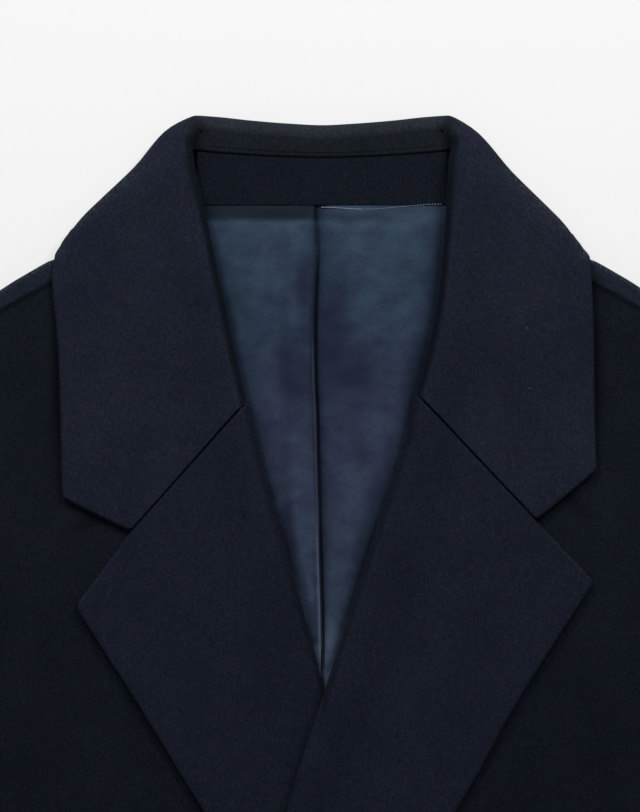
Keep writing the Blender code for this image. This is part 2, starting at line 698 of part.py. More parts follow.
def make_sleeve(side, collection):
    rings = [sleeve_ring(fraction) for fraction in SLEEVE_STATIONS]
    rings = [[(side * x, depth, z) for x, depth, z in ring] for ring in rings]
    name = "sleeve_left" if side > 0 else "sleeve_right"
    cloth(name, rings, WOOL, "wool", collection, tube=True)


# ---------------------------------------------------------------- buttons


def make_button(number, depth, collection, cutters):
    """A turned disc with a dished face and four sewing holes."""
    span = 2 * BUTTON_RADIUS
    across = (front_z(1, BUTTON_RADIUS, depth) - front_z(1, -BUTTON_RADIUS, depth)) / span
    down = (front_z(1, 0, depth + BUTTON_RADIUS) - front_z(1, 0, depth - BUTTON_RADIUS)) / span
    tilt = (-math.atan(down), -math.atan(across), 0)
    z = front_z(1, 0, depth) + WOOL + LAYER_GAP
    half = BUTTON_THICKNESS
    profile = (
        (0, half - BUTTON_DISH), (BUTTON_RADIUS * 0.62, half - BUTTON_DISH),
        (BUTTON_RADIUS * 0.76, half), (BUTTON_RADIUS * 0.93, half), (BUTTON_RADIUS, half * 0.72),
        (BUTTON_RADIUS, half * 0.45), (BUTTON_RADIUS * 0.8, 0), (0, 0),
    )
    mesh = bpy.data.meshes.new(f"button_{number}")
    points = [(r / 1000, 0, h / 1000) for r, h in profile]
    mesh.from_pydata(points, [(i, i + 1) for i in range(len(points) - 1)], [])
    made = add_object(f"button_{number}", mesh, "button", collection)
    made.location = world((0, depth, z))
    made.rotation_euler = tilt
    screw = made.modifiers.new("turned", "SCREW")
    screw.steps = screw.render_steps = 20
    screw.use_merge_vertices = True
    screw.merge_threshold = 0.00001
    for k in range(4):
        angle = math.radians(45 + 90 * k)
        hole = bmesh.new()
        bmesh.ops.create_cone(
            hole, cap_ends=True, segments=6, radius1=BUTTON_HOLE_RADIUS / 1000,
            radius2=BUTTON_HOLE_RADIUS / 1000, depth=3 * BUTTON_THICKNESS / 1000,
        )
        hole_mesh = bpy.data.meshes.new(f"button_{number}_hole_{k}")
        hole.to_mesh(hole_mesh)
        hole.free()
        cutter = bpy.data.objects.new(hole_mesh.name, hole_mesh)
        cutters.objects.link(cutter)
        reach = BUTTON_HOLE_SPACING / math.sqrt(2)
        x, along = reach * math.cos(angle), reach * math.sin(angle)
        cutter.location = world((x, depth + along, z + across * x + down * along + half / 2))
        cutter.rotation_euler = tilt
        cutter.hide_render = True
        cutter.display_type = "WIRE"
        cut = made.modifiers.new(f"hole {k}", "BOOLEAN")
        cut.operation = "DIFFERENCE"
        cut.object = cutter


def main():
    for old in list(bpy.data.objects):
        bpy.data.objects.remove(old, do_unlink=True)
    coat = bpy.data.collections.new("wool_overcoat")
    cutters = bpy.data.collections.new("cutters")
    bpy.context.scene.collection.children.link(coat)
    bpy.context.scene.collection.children.link(cutters)
    make_back(coat)
    for side in (-1, 1):
        make_front(side, coat)
        make_lapel(side, coat)
        make_sleeve(side, coat)
        make_lining(side, coat)
    make_collar(coat)
    make_facing(coat)
    for number, depth in enumerate(BUTTON_DEPTHS, 1):
        make_button(number, depth, coat, cutters)


main()
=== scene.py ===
"""Looks of the wool overcoat: finer cloth on the form of each solid, stitching, nap and sheen.

Sizes are in millimetres until a mesh is made. A place is given by x, positive to the wearer's
left, by depth below the top of the collar, and by z above the surface that the coat lies on.
A side is -1 for the wearer's right and +1 for the left.
"""

import math

import bmesh
import bpy
import numpy as np
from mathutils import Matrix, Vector

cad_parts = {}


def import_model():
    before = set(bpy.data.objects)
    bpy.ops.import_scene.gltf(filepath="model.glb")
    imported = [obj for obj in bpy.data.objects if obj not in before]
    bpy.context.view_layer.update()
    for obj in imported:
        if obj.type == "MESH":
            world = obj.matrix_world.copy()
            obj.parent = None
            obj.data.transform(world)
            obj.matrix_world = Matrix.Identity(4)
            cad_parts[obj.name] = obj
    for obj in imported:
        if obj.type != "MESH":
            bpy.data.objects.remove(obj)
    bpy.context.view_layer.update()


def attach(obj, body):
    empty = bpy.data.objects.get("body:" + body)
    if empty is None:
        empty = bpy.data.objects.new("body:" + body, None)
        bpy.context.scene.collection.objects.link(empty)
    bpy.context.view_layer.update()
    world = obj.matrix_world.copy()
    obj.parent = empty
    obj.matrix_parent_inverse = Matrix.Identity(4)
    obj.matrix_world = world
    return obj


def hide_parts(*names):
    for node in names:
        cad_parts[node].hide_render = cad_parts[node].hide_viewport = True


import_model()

# ---------------------------------------------------------------- sizes, as in the solids

WOOL = 2.3
DOUBLED = 4.0
TUCK = 1.0
FACING = 2.0
LINING = 1.0
BODY_GAP = 3.6
FRONT_RISE = WOOL + BODY_GAP
LINER_RISE = 3.0
LAYER_GAP = 1.0
TUCK_GAP = 0.7
SEAM_GAP = 0.4
OVERLAP_RISE = WOOL + LAYER_GAP
TUCK_RISE = TUCK + TUCK_GAP + 0.3
LAPEL_RISE = DOUBLED + LAYER_GAP

HEM_DEPTH, COLLAR_TOP_DEPTH = 1045.0, -0.9
SHOULDER_X, SHOULDER_DEPTH, SHOULDER_SLOPE = 240.0, 129.0, 0.545
SHOULDER_SEAM_FORWARD = 12.0
UNDERARM_DEPTH = 400.0
COLLAR_DIMPLE = ((146, 6.0), (151, 1.5), (155, -1.4), (160, -1.8), (178, -1.2), (190, 0.0))
NECK_SEAM_DEPTH, NECK_SEAM_RISE, NECK_HALF_WIDTH, NECK_POINT_X = 23.2, 3.8, 75.0, 84.0
FACING_BOTTOM_DEPTH = 50.3
ARMHOLE = ((129, 240), (142, 240), (165, 236.5), (205, 233), (250, 232.5), (300, 240), (345, 255),
           (380, 274), (400, 292))
SIDE = ((400, 292), (450, 287), (520, 284), (620, 286), (750, 291), (900, 297), (1045, 303))

ROLL_LINE = {  # (depth, x)
    -1: ((0, -77), (27, -73.7), (53, -67.9), (94, -59.2), (161, -44.7), (196, -36), (239, -24.4),
         (280, -12.8), (329, 0.2), (375, 13), (430, 26), (490, 39), (530, 45)),
    +1: ((0, 76), (27, 73), (50, 71.9), (94, 68.4), (129, 62.6), (162, 53.9), (198, 45.2),
         (233, 33.6), (268, 22), (329, 2.6), (375, -12.5), (430, -28), (490, -41), (530, -45)),
}
BREAK_DEPTH = 530.0
GORGE_DEPTH = {-1: 165.0, +1: 160.0}
NOTCH = {-1: (-111.4, 240.7), +1: (124.7, 234.3)}
LAPEL_EDGE = {  # (depth, x)
    -1: ((283.6, -143.3), (352, -99.8), (388, -78), (425, -54), (465, -24), (500, 8), (525, 34),
         (534, 43)),
    +1: ((269.1, 157.8), (352, 106), (385, 88), (425, 62), (465, 30), (500, -5), (525, -34),
         (534, -43)),
}

CROWN, CROWN_REACH = 4.0, 35.0
HOLLOW, HOLLOW_REACH = 2.0, 30.0
FRONT_INSET = 5.0
SPRING_END = {-1: (235, 325), +1: (440, 520)}
OVERLAP_REACH, LAPEL_REACH, BELOW_BREAK = 70.0, 80.0, 130.0
LEAF_LIFT = 4.6
LIFT_X, LIFT_DEPTH = (165.0, 240.0), (86.0, 171.0)

FOLD_OUTLINE = {  # silhouette of the fold round each shoulder: (fold position, x, depth)
    -1: ((0, -79.4, -0.4), (0.12, -89.8, 6.2), (0.28, -99.2, 17.8), (0.45, -113.3, 32.0),
         (0.62, -127.2, 45.0), (0.78, -140.1, 58.0), (0.9, -149.8, 69.8), (1, -156.0, 81.2)),
    +1: ((0, 78.2, -0.4), (0.12, 89.0, 6.9), (0.28, 99.9, 20.3), (0.45, 114.6, 34.8),
         (0.62, 128.6, 48.4), (0.78, 141.5, 62.0), (0.9, 149.2, 71.7), (1, 156.3, 81.7)),
}
COLLAR_FRONT = {  # (roll depth, edge x, edge depth)
    -1: ((163.9, -111.2, 239.6), (153, -131, 230.2), (141, -150.8, 220.4), (124, -151.6, 187),
         (101, -152.4, 153), (76, -154.1, 120), (50.5, -156.4, 93)),
    +1: ((159.0, 124.6, 233.3), (149, 142, 218.9), (138, 159.5, 204.2), (121, 158.5, 180),
         (99, 158, 150), (75, 157.5, 120), (50.5, 156.2, 93)),
}
COLLAR_CORNER = 2  # the station whose end is the corner of the leaf
COLLAR_SHOULDER = (  # (roll depth, fold position, turn in degrees, length beneath the back)
    (46, 1.0, 55, 0), (41.5, 0.945, 105, 0), (38.5, 0.90, 155, 0), (34.5, 0.85, 180, 6),
    (29.5, 0.78, 180, 18), (22.5, 0.62, 180, 30),
)
COLLAR_NECK = (
    # centre x, centre depth, facing, first angle, centre z, radius, seam x, seam depth, seam z,
    # fold position, edge x, edge depth
    (80.6, 15.0, 8, -75, 16.4, 3.8, 84.0, 25.0, 12.4, 0.40, 82.0, 68.0),
    (77.0, 6.6, 38, -20, 15.4, 3.0, 79.5, 19.5, 9.8, 0.10, 64.0, 70.0),
    (72.3, 3.4, 68, 40, 13.6, 3.2, 74.5, 17.7, 8.8, None, 52.0, 71.5),
    (60.0, 4.8, 82, 58, 12.9, 3.6, 61.5, 18.9, 8.6, None, 42.0, 72.0),
    (42.0, 6.8, 86, 60, 12.9, 3.6, 43.0, 20.1, 8.6, None, 30.0, 72.0),
    (20.0, 8.6, 88, 60, 12.9, 3.6, 20.5, 21.2, 8.6, None, 14.5, 72.0),
)
COLLAR_CENTRE = (0.0, 9.6, 90, 60, 12.9, 3.6, 0.0, 21.5, 8.6, None, 0.0, 72.0)

FACING_END, FACING_LENGTH = 73.0, 30.0
FACING_UP = 1.5  # how far its upper edge reaches past the neck seam
FACING_LOOSE, FACING_THINS = 0.45, 0.6  # how its lower edge stands off the lining, and thins
FACING_OVER_PLEAT = 1.5  # what it rises more where the pleat passes beneath it
LINING_TUCK = 1.6
PLEAT_LAP = 12.0
PLEAT_RISE = LINING + 0.5
PLEAT_LEAST = 3.0  # width of the lap towards its end
# depths over which the lap narrows, the halves come clear of each other, and the fold lies down
PLEAT_NARROWS, PLEAT_CLEAR, PLEAT_END = (235, 295), (296, 312), (310, 326)
PLEAT_LINE = (  # the dark line beside the fold: (depth, x)
    (50, -3.7), (60, -3.2), (72.5, -2.4), (84, -2.6), (96, -3.1), (121, -3.9), (148, -3.7),
    (173, -2.7), (201, -2.1), (222, -1.5), (251, -1.0), (274, -0.4), (291, 0.0), (330, 0.2),
)
PLEAT_FOLD_INSET = 0.6  # from that dark line back to the fold's edge
LINING_UNDER = 9.0
PUFF, PUFF_SHARE = 6.0, 0.17  # how far each half stands up between its seams: most, and by width
PUFF_POWER = {-1: 0.62, +1: 0.8}  # below 1, the puff is highest nearer the pleat
PLEAT_LIP = (0.4, 2.6)  # how far the pleat's fold stands up, where stitched and where open
PLEAT_GROOVE = 1.2  # width of the low strip beside the fold
LINING_DEPTHS = (FACING_BOTTOM_DEPTH - LINING_TUCK, 350.0)
TIP_RADIUS = 3.5  # of the tips of collar and lapels

SLEEVE_LENGTH = 640.0
SLEEVE_HEADINGS = (61.5, 40.0, 36.0)  # in degrees at shoulder, elbow and cuff
SLEEVE_BEND = 300.0
SLEEVE_FIT = 0.12  # share of its length in which it leaves the armhole's line
CUFF_WIDTH = 145.0
UNDERARM_START = (297.0, 406.0)
# The sleeve is laid out this far from the armhole's line, and its end is tucked this far back,
# so that no light shows in the seam
ARMHOLE_GAP, ARMHOLE_TUCK = 0.6, 0.9

BUTTON_DEPTHS = (548.0, 662.0, 776.0)
BUTTON_RADIUS, BUTTON_THICKNESS, BUTTON_DISH = 14.5, 4.2, 1.2
BUTTON_HOLE_RADIUS, BUTTON_HOLE_SPACING = 1.3, 5.6
SLIT_LENGTH, SLIT_CENTRE, SLIT_HALF_WIDTH, SLIT_PITCH = 34.0, 11.0, 1.5, 0.52

# ---------------------------------------------------------------- curves and heights


def ease(t):
    """Smooth step from 0 to 1."""
    t = np.clip(t, 0.0, 1.0)
    return t * t * (3 - 2 * t)


def between(span, at):
    """Smooth step from 0 at a span's start to 1 at its end."""
    return ease((at - span[0]) / (span[1] - span[0]))


def cubic(t, step, start, end):
    """The cubic over a step with this value and slope at its start and its end."""
    return (
        (2 * t**3 - 3 * t**2 + 1) * start[0] + (t**3 - 2 * t**2 + t) * step * start[1]
        + (3 * t**2 - 2 * t**3) * end[0] + (t**3 - t**2) * step * end[1]
    )


def curve_at(rows, at):
    """A smooth curve through (position, value) rows, held at its ends."""
    positions, values = np.array(rows, float).T
    slopes = np.gradient(values, positions)
    at = np.clip(at, positions[0], positions[-1])
    i = np.clip(np.searchsorted(positions, at) - 1, 0, len(positions) - 2)
    step = positions[i + 1] - positions[i]
    t = (at - positions[i]) / step
    return cubic(t, step, (values[i], slopes[i]), (values[i + 1], slopes[i + 1]))


def mix(a, b, t):
    return tuple(p + (q - p) * t for p, q in zip(a, b))


def unit(x, y):
    length = math.hypot(x, y)
    return x / length, y / length


def roll_x(side, depth):
    return curve_at(ROLL_LINE[side], depth)


def lift(x, depth):
    """How far the tucked leaf lifts all that lies over it."""
    return LEAF_LIFT * (1 - between(LIFT_X, np.abs(x))) * (1 - between(LIFT_DEPTH, depth))


def from_roll(side, x, depth):
    """Distance outwards from the line of the roll."""
    return side * (x - roll_x(side, depth))


def springy(side, depth):
    """The share in which the roll stands up from the front, from 1 at the neck to 0."""
    return 1 - between(SPRING_END[side], depth)


def crown(side, x, depth):
    """What the front rises beside the roll."""
    near = 1 - ease((from_roll(side, x, depth) - FRONT_INSET) / CROWN_REACH)
    return CROWN * near * springy(side, depth)


def overlap(x, depth):
    """What the left front rises where it lies over the right one and its lapel."""
    near = 1 - ease((-from_roll(-1, x, depth) - 6) / OVERLAP_REACH)
    on_lapel = ease((x - curve_at(LAPEL_EDGE[-1], depth) + LAPEL_REACH) / LAPEL_REACH)
    above_break = 1 - ease((depth - BREAK_DEPTH) / BELOW_BREAK)
    return near * (OVERLAP_RISE + (TUCK_RISE + LAPEL_RISE * on_lapel) * above_break)


# Creases of the fronts and of all that lies on them: start x, depth, end x, depth, width, height
FRONT_CREASES = (
    (258, 428, 176, 575, 15, 2.6), (-262, 440, -150, 540, 13, 2.2), (246, 470, 205, 660, 12, 1.6),
    (172, 640, 214, 1045, 24, 3.2), (-196, 690, -176, 1045, 21, 2.8), (104, 760, 92, 1045, 19, 2.0),
    (-92, 860, -118, 1045, 16, 1.8), (-60, 600, -146, 770, 17, 1.7), (66, 570, 120, 700, 13, 1.5),
    (214, 250, 196, 345, 18, 0.9), (-216, 236, -190, 330, 15, 1.1), (262, 830, 268, 1045, 12, -1.0),
    (-242, 780, -250, 930, 13, 1.3), (20, 850, 34, 1045, 14, 1.2), (-196, 430, -210, 520, 11, -0.9),
    (-120, 300, -60, 345, 30, 0.35), (126, 330, 64, 400, 26, 0.4),
)


def creases(table, x, depth):
    """Height added by soft ridges (or troughs, where negative) that fade out at their ends."""
    total = 0.0
    for x0, d0, x1, d1, width, height in table:
        along = unit(x1 - x0, d1 - d0)
        length = math.hypot(x1 - x0, d1 - d0)
        t = ((x - x0) * along[0] + (depth - d0) * along[1]) / length
        bow = math.copysign(0.07, height * x0 * (d1 - 700)) * length
        aside = (depth - d0) * along[0] - (x - x0) * along[1] + bow * (t * (1 - t) * 4)
        ends = ease(t * 3.2) if d1 >= HEM_DEPTH else ease(t * 3) * ease((1 - t) * 3)
        uneven = 0.8 + 0.2 * np.cos(7 * t)
        total = total + height * ends * np.exp(-((aside / width) ** 2)) * uneven
    return total


def handling(x, depth):
    """The slight unevenness of cloth that has been laid down by hand."""
    return 0.16 * (
        np.sin(x / 31 + 1.3 + 0.8 * np.sin(depth / 47)) * np.sin(depth / 39 + 0.4)
        + 0.7 * np.sin(x / 17 - depth / 29 + 2.1)
    )


def front_z(side, x, depth):
    """Height of a front's underside."""
    height = lift(x, depth) + FRONT_RISE + crown(side, x, depth) + handling(x, depth) * 0.5
    height = height + creases(FRONT_CREASES, x, depth)
    return height + (overlap(x, depth) if side > 0 else 0.0)


def turned_z(side, x, depth):
    """Height of the middle of the doubled cloth that is turned back over a front."""
    near = 1 - ease((from_roll(side, x, depth) - FRONT_INSET) / HOLLOW_REACH)
    hollow = HOLLOW * near * springy(side, depth)
    return front_z(side, x, depth) + WOOL + LAYER_GAP + hollow + DOUBLED / 2


# ---------------------------------------------------------------- grids and cloth

EDGE_LINES = (0.0, 0.12, 0.45, 1.0, 1.9)  # distances from an edge at which its rounding is drawn
BOX_CENTRE_DEPTH = (HEM_DEPTH + COLLAR_TOP_DEPTH) / 2


def world(points):
    points = np.asarray(points, float)
    x, depth, z = points[..., 0], points[..., 1], points[..., 2]
    return np.stack([x, BOX_CENTRE_DEPTH - depth, z], axis=-1) / 1000


def y_at(depth):
    """World y of a depth, in metres."""
    return float(world((0, depth, 0))[1])


def spaced(length, count):
    """Distances along strips of these lengths: close together by both ends, even between."""
    length = np.atleast_1d(np.asarray(length, float))[:, None]
    near = np.array(EDGE_LINES)[None] + 0 * length
    inner = np.linspace(0, 1, count + 2)[None, 1:-1]
    middle = EDGE_LINES[-1] + (length - 2 * EDGE_LINES[-1]) * inner
    return np.hstack([near, middle, length - near[:, ::-1]])


def places(counts, first_length, last_length):
    """Places along a row of sections, counted in sections, close together by both ends."""
    even = np.concatenate([k + np.arange(n) / n for k, n in enumerate(counts)])
    near = np.array(EDGE_LINES)
    start, end = near / first_length, len(counts) - near[::-1] / last_length
    inner = even[(even > start[-1] * 1.15) & (even < end[0] - near[-1] / last_length * 0.15)]
    return np.concatenate([start, inner, end])


def through(sections, at, breaks=()):
    """A smooth surface through sections, without overshoot, read at places counted in sections."""
    sections = np.asarray(sections, float)
    gaps = np.linalg.norm(np.diff(sections, axis=0), axis=2).mean(axis=1)[:, None, None]
    slopes = np.diff(sections, axis=0) / gaps
    before, after = slopes[:-1], slopes[1:]
    near, far = 2 * gaps[1:] + gaps[:-1], gaps[1:] + 2 * gaps[:-1]
    same = before * after > 0  # where the slope turns round, it is 0, and elsewhere a weighted mean
    before, after = np.where(same, before, 1), np.where(same, after, 1)
    inner = (near + far) / np.where(same, near / before + far / after, 1)
    arriving = np.concatenate([slopes[:1], np.where(same, inner, 0), slopes[-1:]])
    leaving = arriving.copy()
    for k in breaks:
        arriving[k], leaving[k] = slopes[k - 1], slopes[k]
    i = np.clip(at.astype(int), 0, len(sections) - 2)
    t = (at - i)[:, None, None]
    return cubic(t, gaps[i], (sections[i], leaving[i]), (sections[i + 1], arriving[i + 1]))


def rim(grid, wall, tube=False, seams=None):
    """Share of the wall's thickness at each point, rounded over at edges and less so at seams."""
    radii = {border: wall / 2 for border in ("first", "last", "left", "right")} | (seams or {})
    steps = np.cumsum(np.linalg.norm(np.diff(grid, axis=0), axis=2), 0)
    down = np.vstack([np.zeros(grid.shape[1]), steps])
    t = np.minimum(down / radii["first"], (down[-1] - down) / radii["last"])
    if not tube:
        steps = np.cumsum(np.linalg.norm(np.diff(grid, axis=1), axis=2), 1)
        across = np.hstack([np.zeros((len(grid), 1)), steps])
        t = np.minimum(t, across / radii["left"])
        t = np.minimum(t, (across[:, -1:] - across) / radii["right"])
    t = np.clip(t, 0, 1)
    return np.maximum(np.sqrt(1 - (1 - t) ** 2), 0.1)


def linked(name, data):
    """A new object that is in the scene."""
    made = bpy.data.objects.new(name, data)
    bpy.context.scene.collection.objects.link(made)
    return made


def cloth(name, grid, wall, finish, tube=False, share=None, seams=None, other=None):
    """A wall of cloth whose middle surface is a grid of points, in part of another finish."""
    grid = np.asarray(grid, float)
    rows, count = grid.shape[:2]
    index = np.arange(rows * count).reshape(rows, count)
    right = np.roll(index, -1, axis=1) if tube else index[:, 1:]
    left = index if tube else index[:, :-1]
    faces = np.stack([left[:-1], right[:-1], right[1:], left[1:]], axis=-1).reshape(-1, 4)
    mesh = bpy.data.meshes.new(name)
    mesh.from_pydata(world(grid).reshape(-1, 3).tolist(), [], faces.tolist())
    mesh.shade_smooth()
    mesh.materials.append(finish)
    if other:
        mesh.materials.append(other[0])
        mesh.polygons.foreach_set("material_index", other[1].reshape(-1).astype(np.int32))
    piece = linked(name, mesh)
    weights = rim(grid, wall, tube, seams)
    if share is not None:
        weights = weights * share
    group = piece.vertex_groups.new(name="wall")
    levels = np.round(weights.reshape(-1), 3)
    for level in np.unique(levels):
        group.add(np.nonzero(levels == level)[0].tolist(), float(level), "REPLACE")
    solid = piece.modifiers.new("wall", "SOLIDIFY")
    solid.thickness = wall / 1000
    solid.offset = 0
    solid.vertex_group = "wall"
    return piece


def rounded(grid, row, column, radius):
    """Rounds one corner of a grid: its row (0 or -1) and column (0 or -1) name the corner."""
    grid = grid.copy()
    rows = grid if row == 0 else grid[::-1]
    rows = rows if column == 0 else rows[:, ::-1]
    along = np.linalg.norm(rows - rows[:1], axis=2)
    across = np.linalg.norm(rows - rows[:, :1], axis=2)
    a = np.clip(1 - along / radius, 0, 1)[..., None]
    b = np.clip(1 - across / radius, 0, 1)[..., None]
    down, aside = rows[8, 0] - rows[0, 0], rows[0, 8] - rows[0, 0]
    moved = a * (1 - np.sqrt(1 - b**2 / 2)) * down / np.linalg.norm(down)
    moved = moved + b * (1 - np.sqrt(1 - a**2 / 2)) * aside / np.linalg.norm(aside)
    rows += radius * moved
    return grid


def joined(name, grids, finish):
    """One mesh of many small closed tubes, each a grid of rings with capped ends."""
    mesh = bmesh.new()
    for grid in grids:
        rings = [[mesh.verts.new(point) for point in world(ring)] for ring in grid]
        for a, b in zip(rings, rings[1:]):
            for k in range(len(a)):
                after = (k + 1) % len(a)
                mesh.faces.new((a[k], a[after], b[after], b[k]))
        mesh.faces.new(rings[0][::-1])
        mesh.faces.new(rings[-1])
    bmesh.ops.recalc_face_normals(mesh, faces=mesh.faces)
    made = bpy.data.meshes.new(name)
    mesh.to_mesh(made)
    mesh.free()
    made.shade_smooth()
    made.materials.append(finish)
    return linked(name, made)


def thread(points, radius, sides=6):
    """Rings of a thread along points, thinner at both ends."""
    points = np.asarray(points, float)
    ahead = np.gradient(points, axis=0)
    rings = []
    for k, (at, way) in enumerate(zip(points, ahead)):
        way = way / np.linalg.norm(way)
        aside = np.cross(way, (0.05, 0.03, 1.0))
        aside /= np.linalg.norm(aside)
        up = np.cross(aside, way)
        thin = radius * (0.45 if k in (0, len(points) - 1) else 1.0)
        turns = np.linspace(0, 2 * math.pi, sides, endpoint=False)
        rings.append([at + thin * (math.cos(a) * aside + math.sin(a) * up) for a in turns])
    return np.array(rings)


def stitches(path, pitch, length, radius, sink=0.25):
    """Short stitches along a path of surface points, each dipping into the cloth at its ends."""
    path = np.asarray(path, float)
    run = np.concatenate([[0], np.cumsum(np.linalg.norm(np.diff(path, axis=0), axis=1))])
    made = []
    for start in np.arange(pitch / 2, run[-1] - length, pitch):
        at = start + length * np.array([0, 0.2, 0.5, 0.8, 1])
        points = np.stack([np.interp(at, run, path[:, axis]) for axis in range(3)], axis=1)
        points[:, 2] += np.array([-1, 0.4, 1, 0.4, -1]) * sink
        made.append(thread(points, radius))
    return made


def normals(grid):
    """Unit normals of a grid of points."""
    made = np.cross(np.gradient(grid, axis=1), np.gradient(grid, axis=0))
    return made / np.linalg.norm(made, axis=2, keepdims=True)


# ---------------------------------------------------------------- materials


class Nodes:
    """A material and short calls that add nodes to it."""

    def __init__(self, name):
        self.material = bpy.data.materials.new(name)
        self.material.use_nodes = True
        self.tree = self.material.node_tree
        self.shader = self.tree.nodes["Principled BSDF"]
        self.coords = self.tree.nodes.new("ShaderNodeTexCoord").outputs["Object"]

    def feed(self, socket, value):
        """Links a socket to another, or sets its value."""
        if isinstance(value, bpy.types.NodeSocket):
            self.tree.links.new(value, socket)
        else:
            socket.default_value = value

    def add(self, kind, inputs=(), **settings):
        node = self.tree.nodes.new(kind)
        for key, value in settings.items():
            setattr(node, key, value)
        for key, value in dict(inputs).items():
            self.feed(node.inputs[key], value)
        return node

    def place(self, axis):
        """Where on the coat it is, along one axis and in metres."""
        return self.add("ShaderNodeSeparateXYZ", {"Vector": self.coords}).outputs[axis]

    def normal(self, axis):
        """How far the surface turns towards one axis."""
        normal = self.tree.nodes.new("ShaderNodeNewGeometry").outputs["Normal"]
        return self.add("ShaderNodeSeparateXYZ", {"Vector": normal}).outputs[axis]

    def maths(self, operation, *values):
        inputs = dict(enumerate(values))
        return self.add("ShaderNodeMath", inputs, operation=operation).outputs[0]

    def step(self, value, start, end, low=0.0, high=1.0, way="SMOOTHSTEP"):
        """Goes from low to high while the value goes from start to end."""
        inputs = {"Value": value, "From Min": start, "From Max": end, "To Min": low, "To Max": high}
        return self.add("ShaderNodeMapRange", inputs, interpolation_type=way).outputs[0]

    def noise(self, size, detail=2.0, roughness=0.5, stretch=(1, 1, 1), distortion=0.0):
        """Noise whose main blobs are about size millimetres across."""
        coords = self.add("ShaderNodeMapping", {"Vector": self.coords, "Scale": stretch}).outputs[0]
        inputs = {"Vector": coords, "Scale": 1000 / size, "Detail": detail,
                  "Roughness": roughness, "Distortion": distortion}
        return self.add("ShaderNodeTexNoise", inputs).outputs["Fac"]

    def ramp(self, fac, stops):
        node = self.add("ShaderNodeValToRGB", {"Fac": fac})
        elements = node.color_ramp.elements
        for k, (position, colour) in enumerate(stops):
            element = elements[k] if k < 2 else elements.new(position)
            element.position = position
            element.color = (*colour, 1)
        return node.outputs["Color"]

    def blend(self, fac, a, b, way="MIX"):
        node = self.add("ShaderNodeMix", data_type="RGBA", blend_type=way)
        for key, value in ((0, fac), (6, a), (7, b)):
            self.feed(node.inputs[key], (*value, 1) if isinstance(value, tuple) else value)
        return node.outputs[2]

    def times(self, tone, colour, fac=1.0):
        return self.blend(fac, tone, colour, "MULTIPLY")

    def mottled(self, tone, fac, *stops):
        """The tone multiplied by a ramp of colours."""
        return self.times(tone, self.ramp(fac, stops))

    def bump(self, height, distance, strength=1.0, normal=None):
        inputs = {"Height": height, "Distance": distance / 1000, "Strength": strength}
        if normal is not None:
            inputs["Normal"] = normal
        return self.add("ShaderNodeBump", inputs).outputs["Normal"]

    def shaded(self, tone, steep, least):
        """The tone with painted shade, darker where the cloth turns away from lying flat."""
        return self.times(tone, self.step(self.normal("Z"), steep, 1.0, least, way="LINEAR"))

    def shaded_inside(self, tone, turned, least):
        """The tone with painted shade, darker where the cloth turns towards the middle of the coat.
        """
        outward = self.maths("MULTIPLY", self.normal("X"), self.maths("SIGN", self.place("X")))
        return self.times(tone, self.step(outward, *turned, least))

    def painted_shade(self, tone, table, colour, wander):
        """The tone with painted shade, turning to a colour in soft patches whose outlines wander.
        """
        inputs = {"Vector": self.coords, "Scale": 70.0, "Detail": 2.0}
        drift = self.add("ShaderNodeTexNoise", inputs).outputs["Color"]
        inputs = {0: drift, 1: (wander / 1000, wander / 1000, 0.0), 2: self.coords}
        moved = self.add("ShaderNodeVectorMath", inputs, operation="MULTIPLY_ADD").outputs[0]
        for x, depth, wide, high, turn, share in table:
            inputs = {"Vector": moved, "Rotation": (0.0, 0.0, math.radians(turn)),
                      "Location": tuple(world((x + wander / 2, depth - wander / 2, 0.0))),
                      "Scale": (wide / 1000, high / 1000, 1000.0)}
            spot = self.add("ShaderNodeMapping", inputs, vector_type="TEXTURE").outputs[0]
            near = self.add("ShaderNodeTexGradient", {"Vector": spot}, gradient_type="SPHERICAL")
            tone = self.blend(self.step(near.outputs["Fac"], 0.0, 1.0, 0.0, share), tone, colour)
        return tone

    def line_x(self, y, rows):
        """The x at which a line of (depth, x) rows crosses this y, in metres."""
        first, last = rows[0][0], rows[-1][0]
        low, high = min(x for _, x in rows) - 1, max(x for _, x in rows) + 1
        along = self.step(y, y_at(first), y_at(last), way="LINEAR")
        node = self.add("ShaderNodeFloatCurve", {"Value": along})
        points = node.mapping.curves[0].points
        marks = [((depth - first) / (last - first), (x - low) / (high - low)) for depth, x in rows]
        points[0].location, points[1].location = marks[0], marks[-1]
        for mark in marks[1:-1]:
            points.new(*mark)
        node.mapping.update()
        return self.maths("MULTIPLY_ADD", node.outputs[0], (high - low) / 1000, low / 1000)

    def set(self, **values):
        for key, value in values.items():
            self.feed(self.shader.inputs[key.replace("_", " ")], value)


def scaled(colour, factor):
    return tuple(channel * factor for channel in colour)
